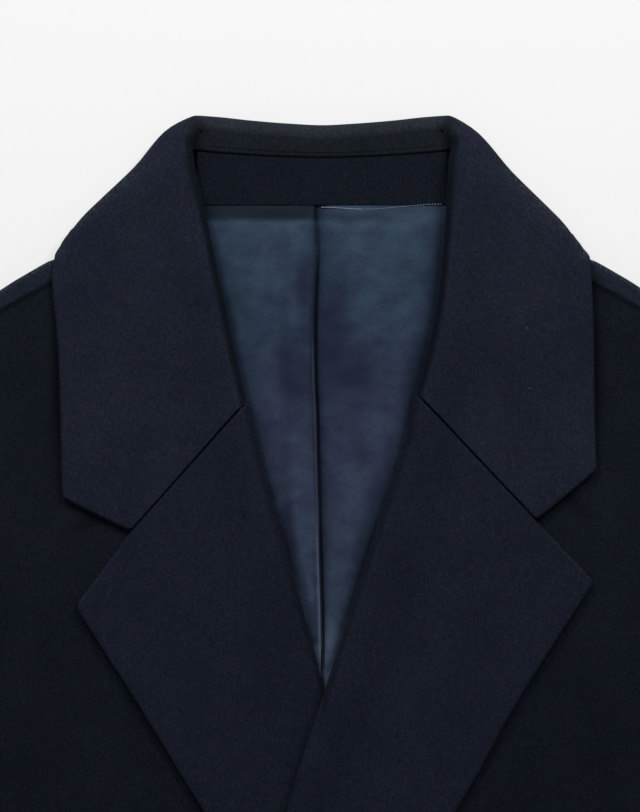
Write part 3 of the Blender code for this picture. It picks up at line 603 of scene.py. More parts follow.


# Patches of painted shade: x, depth, half width, half height, turn in degrees, share
BODY_PAINTED_SHADOWS = (  # painted shadow on the body beside the leaf's edges
    (-153.5, 155, 8.0, 82, -2, 0.8), (159.0, 146, 8.0, 76, 1, 0.8), (-131, 232, 30, 8, 27, 0.6),
    (143, 221, 30, 8, -40, 0.6), (-152, 100, 9, 16, 0, 0.6), (157, 99, 9, 16, 0, 0.7),
)
LEAF_PAINTED_SHADE = (  # painted shade where the leaf goes down into the neck
    (-74, 24, 7, 38, -3, 0.7), (74, 24, 7, 38, 3, 0.7), (-73, 8, 9, 13, 20, 0.7),
    (73, 8, 9, 13, -20, 0.7),
)
LINING_PAINTED_SHADE = (  # painted shade where the lining sinks, along the rolls and under the facing's edge
    (-11, 97, 14, 20, -25, 0.68), (-17, 152, 19, 40, 6, 0.72), (6, 120, 17, 58, 0, 0.75),
    (18, 149, 29, 32, -20, 0.7), (20, 190, 13, 36, 12, 0.45), (-44, 78, 10, 22, 20, 0.2),
    (48, 92, 12, 24, -15, 0.2), (4, 57, 48, 6, 0, 0.65), (-63, 112, 15, 80, 13, 0.8),
    (-50, 180, 10, 60, 16, 0.7), (74, 85, 20, 60, 0, 0.75), (63, 150, 20, 60, -17, 0.8),
    (48, 205, 10, 40, -20, 0.6),
)
WOOL_SHADE_WANDER, WANDER = 2.0, 12.0  # how far the painted shade's outlines wander, on wool and on lining

# Of the shoulder seam, in metres: where across the coat it begins and ends, how far the painted
# highlight on the turn above it starts and is full, and where its line starts and is full
SEAM_BEGINS, SEAM_ENDS = (0.140, 0.150), (0.240, 0.234)
SEAM_PAINTED_HIGHLIGHT, SEAM_LINE = (0.0008, 0.0030), (0.0030, 0.0004)
PAINTED_INSIDE_SHADE_TURN = (-0.62, -0.04)  # the normal's share outwards on the inside of a roll, where the painted shade is full and where it ends
PAINTED_SHEEN_TURN, PAINTED_SHEEN_ACROSS = (0.22, 0.85), (0.085, 0.12)  # where the painted sheen on the nap comes on: the normal's y, and metres from the middle

# Of the pleat, in metres: how far the fold's painted highlight and the groove's painted shadow lie
# from its line and how far they reach, and the world y between which each comes and goes
LIT_ASIDE, LIT_REACH, LIT_BEGINS = 0.0014, (0.0009, 0.0001), (0.405, 0.375)
GROOVE_SHADOW_ASIDE, GROOVE_SHADOW_REACH = 0.0003, (0.0017, 0.0003)
GROOVE_SHADOW_OPENS, GROOVE_SHADOW_CLOSES = (0.452, 0.424), (0.34, 0.30)
SATIN_Y = (0.20, 0.48)  # world y over which the lining's colour changes
FACING_SHADOW_X, FACING_SHADOW_Y = (0.003, -0.003), (0.4610, 0.4655)  # the painted shadow of the facing's edge on the lining, right half only


def wool_fibres(made, colour):
    """The tone of felted fibres, and the two noises that it is made of."""
    fibres = made.noise(1.6, 4, 0.75, (1.0, 0.55, 1.0), 0.8)
    specks = made.noise(0.9, 2, 0.6, (1.0, 0.8, 1.0))
    cloudy = made.noise(30, 4, 0.6, (1.0, 0.7, 1.0))
    tone = made.ramp(fibres, ((0.30, scaled(colour, 0.66)), (0.72, scaled(colour, 1.40))))
    tone = made.mottled(tone, cloudy, (0.3, (0.84, 0.87, 0.90)), (0.7, (1.14, 1.12, 1.09)))
    tone = made.mottled(tone, specks, (0.34, (0.74, 0.76, 0.80)), (0.56, (1.0, 1.0, 1.0)),
                        (0.74, (1.45, 1.4, 1.35)))
    hue = made.noise(2.6, 3, 0.7)
    tone = made.mottled(tone, hue, (0.36, (1.18, 0.93, 0.98)), (0.64, (0.84, 1.08, 1.03)))
    return tone, fibres, specks


def shoulder_seam(made, tone, across):
    """The tone with the shoulder seam's dark line and, above it, a painted highlight on the turn of
    the back.
    """
    seam = SHOULDER_DEPTH - SHOULDER_SLOPE * SHOULDER_X + SHOULDER_SEAM_FORWARD
    above = made.maths("MULTIPLY_ADD", across, SHOULDER_SLOPE, made.place("Y"))
    above = made.maths("SUBTRACT", above, y_at(seam))
    within = made.step(across, *SEAM_BEGINS), made.step(across, *SEAM_ENDS)
    within = made.maths("MULTIPLY", *within)
    # painted highlight on the turn of the back above the seam, which faces up towards the light
    turned = made.maths("MULTIPLY", made.step(above, *SEAM_PAINTED_HIGHLIGHT), within)
    tone = made.times(tone, (1.75, 1.75, 1.70), turned)
    line = made.step(made.maths("ABSOLUTE", above), *SEAM_LINE)
    return made.times(tone, (0.5, 0.5, 0.52), made.maths("MULTIPLY", line, within))


def wool(name, colour, inside=None, painted_shade=(), on_body=False):
    """Brushed navy wool with a short nap, and flecks of nap painted lighter as sheen on the edges
    that face the collar's top.

    It has painted shade in its patches and, where a share is given, on the inside of a roll.
    """
    made = Nodes(name)
    tone, fibres, specks = wool_fibres(made, colour)
    # painted shade on the inside of a roll, where the cloth turns towards the middle
    if inside:
        tone = made.shaded_inside(tone, PAINTED_INSIDE_SHADE_TURN, inside)
    across = made.maths("ABSOLUTE", made.place("X"))
    # painted shade: the tone turns darker in the given patches
    if painted_shade:
        tone = made.painted_shade(tone, painted_shade, scaled(colour, 0.42), WOOL_SHADE_WANDER)
    if on_body:
        tone = shoulder_seam(made, tone, across)
    # painted sheen: flecks of the nap turn lighter where the cloth faces the collar's top, towards
    # the lamps
    painted_sheen_place = made.step(made.normal("Y"), *PAINTED_SHEEN_TURN), made.step(across, *PAINTED_SHEEN_ACROSS)
    painted_sheen_flecks = made.step(made.noise(1.3, 3, 0.7), 0.47, 0.66, 0.0, 0.5)
    painted_sheen_flecks = made.maths("MULTIPLY", made.maths("MULTIPLY", *painted_sheen_place), painted_sheen_flecks)
    tone = made.blend(painted_sheen_flecks, tone, (0.075, 0.085, 0.090))
    pile = made.bump(specks, 0.35, 0.5, made.bump(fibres, 0.6, 0.5))
    made.set(Base_Color=tone, Normal=pile, Roughness=0.95, Sheen_Weight=0.02, Sheen_Roughness=0.5,
             Sheen_Tint=(0.6, 0.72, 1.0, 1.0), Specular_IOR_Level=0.03)
    return made.material


def pleat_painted_light(made, tone, x, y):
    """The tone with the pleat's painted highlight on its fold and painted shadow in the groove,
    along its line.
    """
    aside = made.maths("SUBTRACT", x, made.line_x(y, PLEAT_LINE))
    # painted highlight along the edge of the pleat's fold, stronger lower down
    lit = made.maths("ABSOLUTE", made.maths("ADD", aside, LIT_ASIDE))
    low_down = made.step(y, *LIT_BEGINS, 0.0, 0.48)
    lit = made.maths("MULTIPLY", made.step(lit, *LIT_REACH), low_down)
    tone = made.blend(lit, tone, (0.080, 0.095, 0.130))
    # painted shadow in the groove beside the fold
    groove = made.maths("ABSOLUTE", made.maths("SUBTRACT", aside, GROOVE_SHADOW_ASIDE))
    groove = made.step(groove, *GROOVE_SHADOW_REACH)
    opening = made.step(y, *GROOVE_SHADOW_OPENS, 0.25, 0.80)
    closing = made.step(y, *GROOVE_SHADOW_CLOSES, 1.0, 0.75)
    groove = made.maths("MULTIPLY", groove, made.maths("MULTIPLY", opening, closing))
    return made.blend(groove, tone, (0.0016, 0.0024, 0.0050))


def satin(name):
    """Slate blue lining: fine twill, teal by the neck and in the V's point, indigo between; the V's
    point is painted lighter to offset its shade.
    """
    made = Nodes(name)
    x, y = made.place("X"), made.place("Y")
    down = made.step(y, *SATIN_Y, way="LINEAR")
    blotch = made.noise(30, 2, 0.5, (1.0, 1.0, 1.0), 0.3)
    # colour down the lining; the first stop, in the V's point, is painted light that offsets the
    # shade there
    tone = made.ramp(made.maths("MULTIPLY_ADD", blotch, 0.3, down), (
        (0.16, (0.0490, 0.0700, 0.1120)), (0.33, (0.0255, 0.0365, 0.0635)),
        (0.64, (0.0235, 0.0295, 0.0555)), (0.82, (0.0205, 0.0310, 0.0555)),
        (0.95, (0.0197, 0.0330, 0.0550)),
    ))
    weave = made.noise(1.0, 3, 0.6, (1.0, 0.6, 1.0))
    tone = made.mottled(tone, weave, (0.3, (0.90, 0.88, 0.90)), (0.7, (1.10, 1.11, 1.10)))
    soft = made.noise(11, 3, 0.6, (0.8, 1.2, 1.0))
    tone = made.mottled(tone, soft, (0.3, (0.80, 0.72, 0.82)), (0.7, (1.16, 1.26, 1.16)))
    # painted shade on the satin in its dents, along the rolls and under the facing
    tone = made.painted_shade(tone, LINING_PAINTED_SHADE, (0.0085, 0.0100, 0.0215), WANDER)
    # painted shadow: a dark band cast by the facing's lower edge on the lining
    facing_shadow = made.maths("MULTIPLY", made.step(x, *FACING_SHADOW_X, way="LINEAR"), made.step(y, *FACING_SHADOW_Y))
    tone = made.blend(facing_shadow, tone, (0.0050, 0.0088, 0.0150))
    # painted light and shadow on the pleat, then painted shade where the satin turns from lying
    # flat
    tone = made.shaded(pleat_painted_light(made, tone, x, y), 0.80, 0.6)
    made.set(Base_Color=tone, Normal=made.bump(weave, 0.05, 0.4), Roughness=0.5, Sheen_Weight=0.01,
             Sheen_Roughness=0.4, Sheen_Tint=(0.6, 0.75, 1.0, 1.0), Specular_IOR_Level=0.03)
    return made.material


def plain(name, colour, roughness, specular=0.3):
    """Thread or lint: a colour with slight mottling and a fine bump."""
    made = Nodes(name)
    mottle = made.noise(2.5, 3, 0.6)
    tone = made.ramp(mottle, ((0.3, scaled(colour, 0.8)), (0.7, scaled(colour, 1.25))))
    made.set(Base_Color=tone, Normal=made.bump(mottle, 0.08, 0.3), Roughness=roughness,
             Specular_IOR_Level=specular)
    return made.material


def horn(name):
    """Polished navy button with faint cloudy streaks."""
    made = Nodes(name)
    streaks = made.noise(7, 4, 0.6, (1.0, 2.4, 1.0), 1.2)
    tone = made.ramp(streaks, ((0.35, (0.006, 0.007, 0.011)), (0.68, (0.021, 0.024, 0.034))))
    made.set(Base_Color=tone, Normal=made.bump(streaks, 0.04, 0.2), Roughness=0.28,
             Specular_IOR_Level=0.5)
    return made.material


# One navy wool in five tones that paint light and shade: leaf and stand lighter, lapels less so,
# body and facing darkest, the facing darkened as painted shade beneath the stand
BODY_WOOL = wool("wool_body", (0.0047, 0.0063, 0.0103), painted_shade=BODY_PAINTED_SHADOWS, on_body=True)
LAPEL_WOOL = wool("wool_lapel", (0.0072, 0.0091, 0.0162), inside=0.7)
LEAF_WOOL = wool("wool_leaf", (0.0085, 0.0105, 0.0184), inside=0.36, painted_shade=LEAF_PAINTED_SHADE)
STAND_WOOL = wool("wool_stand", (0.0118, 0.0145, 0.0194), painted_shade=LEAF_PAINTED_SHADE)
FACING_WOOL = wool("wool_facing", (0.0045, 0.0060, 0.0099))
SATIN = satin("lining_satin")
DARK_THREAD = plain("thread_dark", (0.0020, 0.0025, 0.0050), 0.8, 0.1)
# pale thread, also used as a painted highlight on the lining's fold
PALE_THREAD_AND_HIGHLIGHT = plain("thread_pale_and_highlight", (0.10, 0.13, 0.17), 0.6, 0.3)
LINT = plain("lint", (0.10, 0.12, 0.14), 0.9, 0.1)
HORN = horn("button_horn")

# ---------------------------------------------------------------- back and fronts

SIDE_FOLD_TURN = 80.0
SIDE_FOLD_RADIUS = FRONT_RISE / 2
NECK_STEP_IN = 6.0


def dimple(x):
    return np.interp(np.abs(x), *zip(*COLLAR_DIMPLE))


def armhole_x(depth):
    return np.interp(depth, *zip(*ARMHOLE))


def shoulder_line(x):
    """Depth of the fold along the shoulder."""
    from_end = SHOULDER_X - np.minimum(np.abs(x), SHOULDER_X)
    return SHOULDER_DEPTH - SHOULDER_SLOPE * from_end + dimple(x)


def back_top(x):
    """Depth of the back's top outline: neck seam, neck point, then shoulder."""
    x = np.abs(x)
    across = np.minimum(x, NECK_HALF_WIDTH) / NECK_HALF_WIDTH
    neck = NECK_SEAM_DEPTH - NECK_SEAM_RISE * across**2
    rising = (shoulder_line(NECK_POINT_X) - neck) * between((NECK_HALF_WIDTH, NECK_POINT_X), x)
    return np.where(x >= NECK_POINT_X, shoulder_line(x), neck + rising)


def side_end(depth):
    """x to which the cloth lies flat; past it are the seam's turn or, above the underarm, none."""
    folded = curve_at(SIDE, depth) - SIDE_FOLD_RADIUS - WOOL / 2
    return np.where(depth < UNDERARM_DEPTH, armhole_x(depth), folded)


def beyond(turns, depth):
    """Steps past the flat end to the seam: (x step, rise) a turn, none above the underarm."""
    below = (depth >= UNDERARM_DEPTH).astype(float)
    return [(below * SIDE_FOLD_RADIUS * math.sin(a) + (1 - below) * 0.01 * (k + 1),
             below * SIDE_FOLD_RADIUS * (1 - math.cos(a))) for k, a in enumerate(turns)]


SIDE_TURNS = np.radians((12, 24, 36, 48, 60, 70, 76, SIDE_FOLD_TURN))


def row_depth(x, side_depth):
    """Depth along a row of the back: it follows the shoulders at the top and evens out below."""
    straight = between((SHOULDER_DEPTH, UNDERARM_DEPTH), side_depth)
    top = back_top(np.minimum(np.abs(x), SHOULDER_X))
    return side_depth - (SHOULDER_DEPTH - top) * (1 - straight)


BACK_COLUMNS = np.concatenate([
    np.linspace(0, 72, 16), np.linspace(75, 84, 6), np.linspace(88, 234, 34),
    np.linspace(236.5, 240, 3),
])
BACK_FIRST, FRONT_FIRST = 152, 137.93  # depths of the highest flat rows, at the armhole
SHOULDER_TURNS = np.radians(np.linspace(0, 180, 13))


def down_side(first, count):
    """Depths of rows at the side, down to the hem, with one just above and below the underarm."""
    rows = first + spaced(HEM_DEPTH - first, count)[0]
    return np.sort(np.concatenate([rows, [UNDERARM_DEPTH - 0.3, UNDERARM_DEPTH + 0.3]]))


def outer_z(x, depth):
    """Height of the middle of the fronts' cloth, or of what would lie there."""
    return np.where(x > 0, front_z(1, x, depth), front_z(-1, x, depth)) + WOOL / 2


def back_grid():
    """From the hem up to the neck seam and the shoulders' fold, and forward to their seams."""
    depths = down_side(BACK_FIRST, 110)[::-1]
    rows = []
    for side_depth in depths:
        at = np.array(side_depth)
        end = float(side_end(at))
        half = [(end * c / SHOULDER_X, 0.0) for c in BACK_COLUMNS]
        half += [(end + step, rise) for step, rise in beyond(SIDE_TURNS, at)]
        row = [(-x, rise) for x, rise in reversed(half[1:])] + half
        x, rise = np.array(row).T
        depth = row_depth(x, side_depth)
        rows.append(np.stack([x, depth, lift(x, depth) + WOOL / 2 + rise], axis=1))
    extra = np.arange(1, len(SIDE_TURNS) + 1) * 0.01
    half = np.concatenate([BACK_COLUMNS, SHOULDER_X + extra])
    x = np.concatenate([-half[:0:-1], half])
    top = back_top(x)
    turned = np.abs(x) > NECK_POINT_X
    low = lift(x, top) + WOOL / 2
    radius = (outer_z(x, top + 4) - low) / 2
    share = ease((np.abs(x) - NECK_POINT_X) / 9)
    steps = len(SHOULDER_TURNS)
    for k, angle in enumerate(SHOULDER_TURNS):
        edge_depth = top + NECK_STEP_IN * (1 - (k + 1) / (steps + 4)) * 0.98 + 0.1
        edge = np.stack([x, edge_depth, lift(x, edge_depth) + WOOL / 2], axis=1)
        part = angle * np.where(turned, share, 0)
        round_depth = top + WOOL / 2 + radius * (1 - np.sin(part))
        turn = np.stack([x, round_depth, low + radius * (1 - np.cos(part))], axis=1)
        rows.append(np.where(turned[:, None], turn, edge))
    forward = SHOULDER_SEAM_FORWARD - SEAM_GAP / 2
    _, start_depth, start_z = rows[-1].T
    end_depth = np.where(share > 0.98, top + forward, start_depth - 0.9)
    for t in (0.35, 0.7, 0.85, 0.93, 0.97, 1.0):
        depth = start_depth + (end_depth - start_depth) * t
        flat = start_z + (outer_z(x, depth) - start_z) * min(t * 2, 1)
        z = np.where(share > 0.98, flat, start_z + 0.3 * t)
        rows.append(np.stack([x, depth, z], axis=1))
    return np.array(rows)


FRONT_ROWS = (  # depth of a front's row at its side, and at its inner edge
    (138, 52), (152, 66), (165, 82), (185, 105), (228, 160), (322, 275), (380, 338), (401, 358),
    (458, 430), (518, 498), (560, 541), (635, 625), (740, 740), (1045, 1045),
)


def front_edge_x(side, depth):
    """The front's inner edge: beneath the roll, and on its line below the break."""
    inset = FRONT_INSET * (1 - ease((depth - 521) / 18))
    return roll_x(side, depth) + side * inset


def front_grid(side):
    """Rows from the inner edge out to the side seam, from the shoulder seam down to the hem."""
    outer = down_side(FRONT_FIRST, 170)
    inner = np.interp(outer, *zip(*FRONT_ROWS))
    seam = SHOULDER_DEPTH - SHOULDER_SLOPE * (SHOULDER_X - abs(float(front_edge_x(side, 51.5))))
    seam += SHOULDER_SEAM_FORWARD + SEAM_GAP / 2
    inner += (seam - FRONT_ROWS[0][1]) * (1 - ease((outer - FRONT_FIRST) / 60))
    rows = []
    for inner_depth, outer_depth in zip(inner, outer):
        start = float(front_edge_x(side, inner_depth))
        end = float(side_end(np.array(outer_depth)))
        reach = spaced(abs(side * end - start), 62)[0]
        x = start + side * reach
        slope = (outer_depth - inner_depth) / reach[-1]
        depth = inner_depth + slope * reach
        depth = depth + dimple(x) * (1 - ease((outer_depth - FRONT_FIRST) / 50))
        past = [(side * (end + step), outer_depth + slope * step, rise)
                for step, rise in beyond(SIDE_TURNS, np.array(outer_depth))]
        x, depth, rise = np.hstack([[x, depth, 0 * x], np.array(past).T])
        rows.append(np.stack([x, depth, front_z(side, x, depth) + WOOL / 2 - rise], axis=1))
    return np.array(rows)


# ---------------------------------------------------------------- lapels and collar

ROLL_TURNS = np.radians(np.linspace(-90, 90, 17))
COARSE_ROLL = np.radians((-90, -45, 0, 45, 90))
TOP_STEPS = (0.1, 0.3, 0.55, 0.8)
EDGE_MARGINS = (24, 20, 16.5, 13.5, 10.5, 8, 5.5, 3, 0)
SHOULDER_ROLL_DEPTH = 50.5
FOLD_STEPS = 9
ROLL_TOP, ROLL_BACK = 5.6, 7.0  # places across the collar, in points, where the stand's tone ends
UNDER_Z = DOUBLED / 2
FOLD_RADIUS, FOLD_SPREAD = 5.2, 1.75  # of the fold at the neck, and what it gains by the shoulder
HEEL_RADIUS = 4.0  # where the leaf turns in beneath the back, behind the neck
TUCK_SHARE = TUCK / DOUBLED
CORNER_SHARE = 0.15  # how far the leaf's corner draws back, as a share of the tips' radius


def turned_section(side, roll_depth, edge, turns, reach=(), notch=None, bend=0.0):
    """Tuck under the front, turn at the roll, then the doubled cloth out to its edge."""
    roll = (float(roll_x(side, roll_depth)), roll_depth)
    away = unit(edge[0] - roll[0], edge[1] - roll[1])
    width = math.hypot(edge[0] - roll[0], edge[1] - roll[1])

    def place(s):
        x, depth = roll[0] + away[0] * s, roll[1] + away[1] * s
        if notch:
            at = math.hypot(notch[0] - roll[0], notch[1] - roll[1])
            tent = np.clip(np.minimum(s / at, (width - s) / (width - at)), 0, 1)
            on_line = (roll[0] + away[0] * at, roll[1] + away[1] * at)
            x = x + (notch[0] - on_line[0]) * tent * bend
            depth = depth + (notch[1] - on_line[1]) * tent * bend
        return x, depth

    inner, outer = place(FRONT_INSET), place(FRONT_INSET + 6)
    low = min(float(front_z(side, *at)) for at in (inner, outer)) - TUCK_GAP - TUCK / 2
    high = float(turned_z(side, *inner))
    radius = (high - low) / 2
    centre = radius + DOUBLED * 0.35
    s = np.concatenate([[centre + 3.5, centre + 2], centre - radius * np.cos(turns)])
    z = np.concatenate([[low, low], low + radius * (1 + np.sin(turns))])
    x, depth = place(s)
    path = np.stack([x, depth, z], axis=1)
    if len(reach):
        s = centre + np.asarray(reach) * (width - centre)
        x, depth = place(s)
        path = np.vstack([path, np.stack([x, depth, turned_z(side, x, depth)], axis=1)])
    return path


def lapel_grid(side):
    """Sections from the gorge seam down to the break, and each point's share of the wall."""
    last = BREAK_DEPTH - 6
    tip = LAPEL_EDGE[side][0][0]
    grid = []
    for t in spaced(last - GORGE_DEPTH[side], 120)[0] / (last - GORGE_DEPTH[side]):
        roll_depth = GORGE_DEPTH[side] + (last - GORGE_DEPTH[side]) * t
        edge_depth = tip + (BREAK_DEPTH - tip) * t
        edge = (float(curve_at(LAPEL_EDGE[side], edge_depth)), edge_depth)
        width = math.hypot(edge[0] - roll_x(side, roll_depth), edge[1] - roll_depth)
        reach = spaced(width, 40)[0][3:] / width
        bend = max(0.0, 1 - 3 * t)
        grid.append(turned_section(side, roll_depth, edge, ROLL_TURNS, reach, NOTCH[side], bend))
    grid = np.array(grid)
    thickens = np.ones(grid.shape[1])  # from the tuck, over the roll, to the doubled cloth
    thickens[:2 + len(ROLL_TURNS)] = [0, 0, *ease(np.linspace(-0.1, 1.3, len(ROLL_TURNS)))]
    return grid, (TUCK_SHARE + (1 - TUCK_SHARE) * thickens)[None]


def fold_outline(side, t):
    """A place on the collar's outline round the shoulder, and the direction in from it."""
    rows = FOLD_OUTLINE[side]
    along = unit(rows[-1][1] - rows[0][1], rows[-1][2] - rows[0][2])
    place = tuple(float(curve_at([(row[0], row[axis]) for row in rows], t)) for axis in (1, 2))
    return place, (-side * along[1], side * along[0])


def folded_leaf(side, start, fold_at, edge=None, turn_to=180, under=0.0):
    """From the roll over to the fold round the shoulder, and beneath the back to the edge."""
    outline, inward = fold_outline(side, fold_at)
    high = start[2] + (float(turned_z(side, *outline)) - start[2]) * fold_at
    high = min(high, UNDER_Z + 2 * (FOLD_RADIUS + FOLD_SPREAD * fold_at))
    stands = ease((1 - fold_at) / 0.4)  # towards the neck the leaf hangs free from its roll
    radius = (high - UNDER_Z) / 2
    turned = math.radians(turn_to)
    reach = (radius + DOUBLED / 2) * math.sin(min(turned, math.pi / 2))
    centre = tuple(outline[i] + inward[i] * reach for i in (0, 1))
    inside = sum((start[i] - centre[i]) * inward[i] for i in (0, 1))
    above = start[2] - UNDER_Z - radius
    tangent = math.acos(min(radius / math.hypot(inside, above), 1))
    first = max(math.pi / 2 - math.atan2(above, -inside) + tangent, 0.0) * stands

    def around(angle):
        at = tuple(centre[i] - inward[i] * radius * math.sin(angle) for i in (0, 1))
        return (*at, UNDER_Z + radius * (1 + math.cos(angle)))

    path = []
    for step in TOP_STEPS:
        x, depth, hanging = mix(start, around(first), step)
        lying = float(turned_z(side, x, depth))
        path.append((x, depth, lying + (hanging - lying) * stands))
    if edge is None:
        edge = tuple(centre[i] + inward[i] * under for i in (0, 1))
    under = math.hypot(edge[0] - centre[0], edge[1] - centre[1])
    arc = radius * (turned - first)
    arc_share = max(0.5, arc / (arc + under))
    for t in np.linspace(0, 1, FOLD_STEPS):
        if t <= arc_share:
            path.append(around(first + (turned - first) * t / arc_share))
        else:
            path.append((*mix(centre, edge, (t - arc_share) / (1 - arc_share)), UNDER_Z))
    return path


def front_station(side, roll_depth, edge_x, edge_depth):
    """From the tuck over the roll and out to the leaf's edge, where points lie close together."""
    margins = np.array(EDGE_MARGINS) * (0.45 + 0.55 * ease((roll_depth - SHOULDER_ROLL_DEPTH) / 60))
    roll = turned_section(side, roll_depth, (edge_x, edge_depth), COARSE_ROLL)[1:]
    start = tuple(roll[-1])
    reach = math.hypot(start[0] - edge_x, start[1] - edge_depth)
    marks = [reach - (reach - margins[0]) * step for step in TOP_STEPS]
    path = []
    for margin in marks + list(margins):
        x, depth = mix((edge_x, edge_depth), start[:2], margin / reach)
        path.append((x, depth, float(turned_z(side, x, depth))))
    return np.vstack([roll, path])


def shoulder_station(side, roll_depth, fold_at, turn_to, under):
    """From the tuck over the roll and round the fold on the shoulder."""
    outline, _ = fold_outline(side, fold_at)
    roll = turned_section(side, roll_depth, outline, COARSE_ROLL)[1:]
    leaf = folded_leaf(side, tuple(roll[-1]), fold_at, turn_to=turn_to, under=under)
    return np.vstack([roll, leaf])


def neck_station(side, row):
    """Stand up from the neck seam, over the roll, and down behind the neck."""
    x, depth, facing, first, z, radius, *seam, fold_at, edge_x, edge_depth = row
    toward = (-side * math.cos(math.radians(facing)), math.sin(math.radians(facing)))
    centre = (side * x, depth)

    def around(angle):
        reach = radius * math.cos(angle)
        at = (centre[0] + toward[0] * reach, centre[1] + toward[1] * reach)
        return (*at, z + radius * math.sin(angle))

    stand = [around(angle) for angle in np.radians(np.linspace(first, 90, 5))]
    path = [(side * seam[0], *seam[1:])] + stand
    edge = (side * edge_x, edge_depth)
    if fold_at is not None:
        return np.array(path + folded_leaf(side, stand[-1], fold_at, edge))
    path += [around(math.radians(angle)) for angle in (130, 180)]
    outer = path[-1]
    drop = outer[2] - UNDER_Z - HEEL_RADIUS
    path += [(outer[0], outer[1], outer[2] - drop * t) for t in (0.4, 0.75)]
    back = unit(edge[0] - outer[0], edge[1] - outer[1])
    for angle in np.radians((0, 22, 45, 68, 90)):
        reach = HEEL_RADIUS * (1 - math.cos(angle))
        at = (outer[0] + back[0] * reach, outer[1] + back[1] * reach)
        path.append((*at, UNDER_Z + HEEL_RADIUS * (1 - math.sin(angle))))
    start = path[-1]
    path += [mix(start, (*edge, UNDER_Z), step) for step in (0.25, 0.5, 0.75, 1.0)]
    return np.array(path)


def collar_grid():
    """One surface from gorge to gorge, each point's share of the wall, and the stand's faces."""
    halves = {}
    for side in (-1, 1):
        half = [front_station(side, *row) for row in COLLAR_FRONT[side]]
        half += [shoulder_station(side, *row) for row in COLLAR_SHOULDER]
        half += [neck_station(side, row) for row in COLLAR_NECK]
        halves[side] = half
    stations = np.array(halves[-1] + [neck_station(1, COLLAR_CENTRE)] + halves[1][::-1])
    count = len(stations)
    half_counts = [6, 6, 8, 9, 9, 8] + [3] * len(COLLAR_SHOULDER) + [6] * (len(COLLAR_NECK) + 1)
    at = places(half_counts + half_counts[::-1], 12.0, 12.0)
    grid = through(stations, at, (COLLAR_CORNER, count - 1 - COLLAR_CORNER))
    counts = [3] + [4] * 4 + [4, 4, 5, 4, 3] + [3] * 8 + [3]
    across = places(counts[:stations.shape[1] - 1], 4.0, 3.0)
    grid = through(grid.transpose(1, 0, 2), across).transpose(1, 0, 2)
    tucked = len(COLLAR_FRONT[1]) + len(COLLAR_SHOULDER)  # the first station at the neck seam
    from_end = np.minimum(at, count - 1 - at)
    thin = 1 - ease((from_end - tucked + 1) / 1.5)
    inner = 1 - ease((across - 1.2) / 3.6)
    share = 1 - (1 - TUCK_SHARE) * thin[:, None] * inner[None]
    for k in (COLLAR_CORNER, count - 1 - COLLAR_CORNER):
        row = int(np.argmin(np.abs(at - k)))
        along = np.linalg.norm(grid[:, -1] - grid[row, -1], axis=1)
        inwards = np.linalg.norm(grid - grid[:, -1:], axis=2)
        near = np.clip(1 - along / (2 * TIP_RADIUS), 0, 1)[:, None] ** 2
        near = near * np.clip(1 - inwards / (4 * TIP_RADIUS), 0, 1)
        way = grid[row, -12] - grid[row, -1]
        grid = grid + CORNER_SHARE * TIP_RADIUS * near[..., None] * way / np.linalg.norm(way)
    middle = (from_end[:-1] + from_end[1:]) / 2
    ends = np.select([middle > tucked + 2.0, middle > tucked + 0.6], [ROLL_BACK, ROLL_TOP], 0.0)
    return grid, share, across[None, :-1] < ends[:, None]


# ---------------------------------------------------------------- lining and facing

LINING_DENTS = (  # beside the pleat: start x, depth, end x, depth, width, height
    (-10, 84, -12, 106, 7, -1.3), (-15, 126, -17, 172, 9, -1.8), (8, 84, 10, 140, 8, -1.6),
    (16, 130, 20, 166, 11, -1.8), (22, 164, 18, 214, 7, -1.3), (-46, 66, -44, 88, 8, -0.9),
)


def lining_waves(side, x, depth):
    """Soft dents of the satin, which lies loose; they die out towards its seams."""
    free = ease((depth - 58) / 30) * ease((330 - depth) / 60) * ease((np.abs(x) - 3) / 14)
    waves = (
        0.55 * np.sin(depth / 19 + x / 23 + side) * np.sin(x / 13 + 0.6 * side)
        + 0.40 * np.sin(depth / 31 - x / 15 + 2.2 * side)
        + 0.25 * np.sin(depth / 11 + 1.7) * np.sin(x / 21 - 0.4)
    )
    return free * (waves + 0.7)


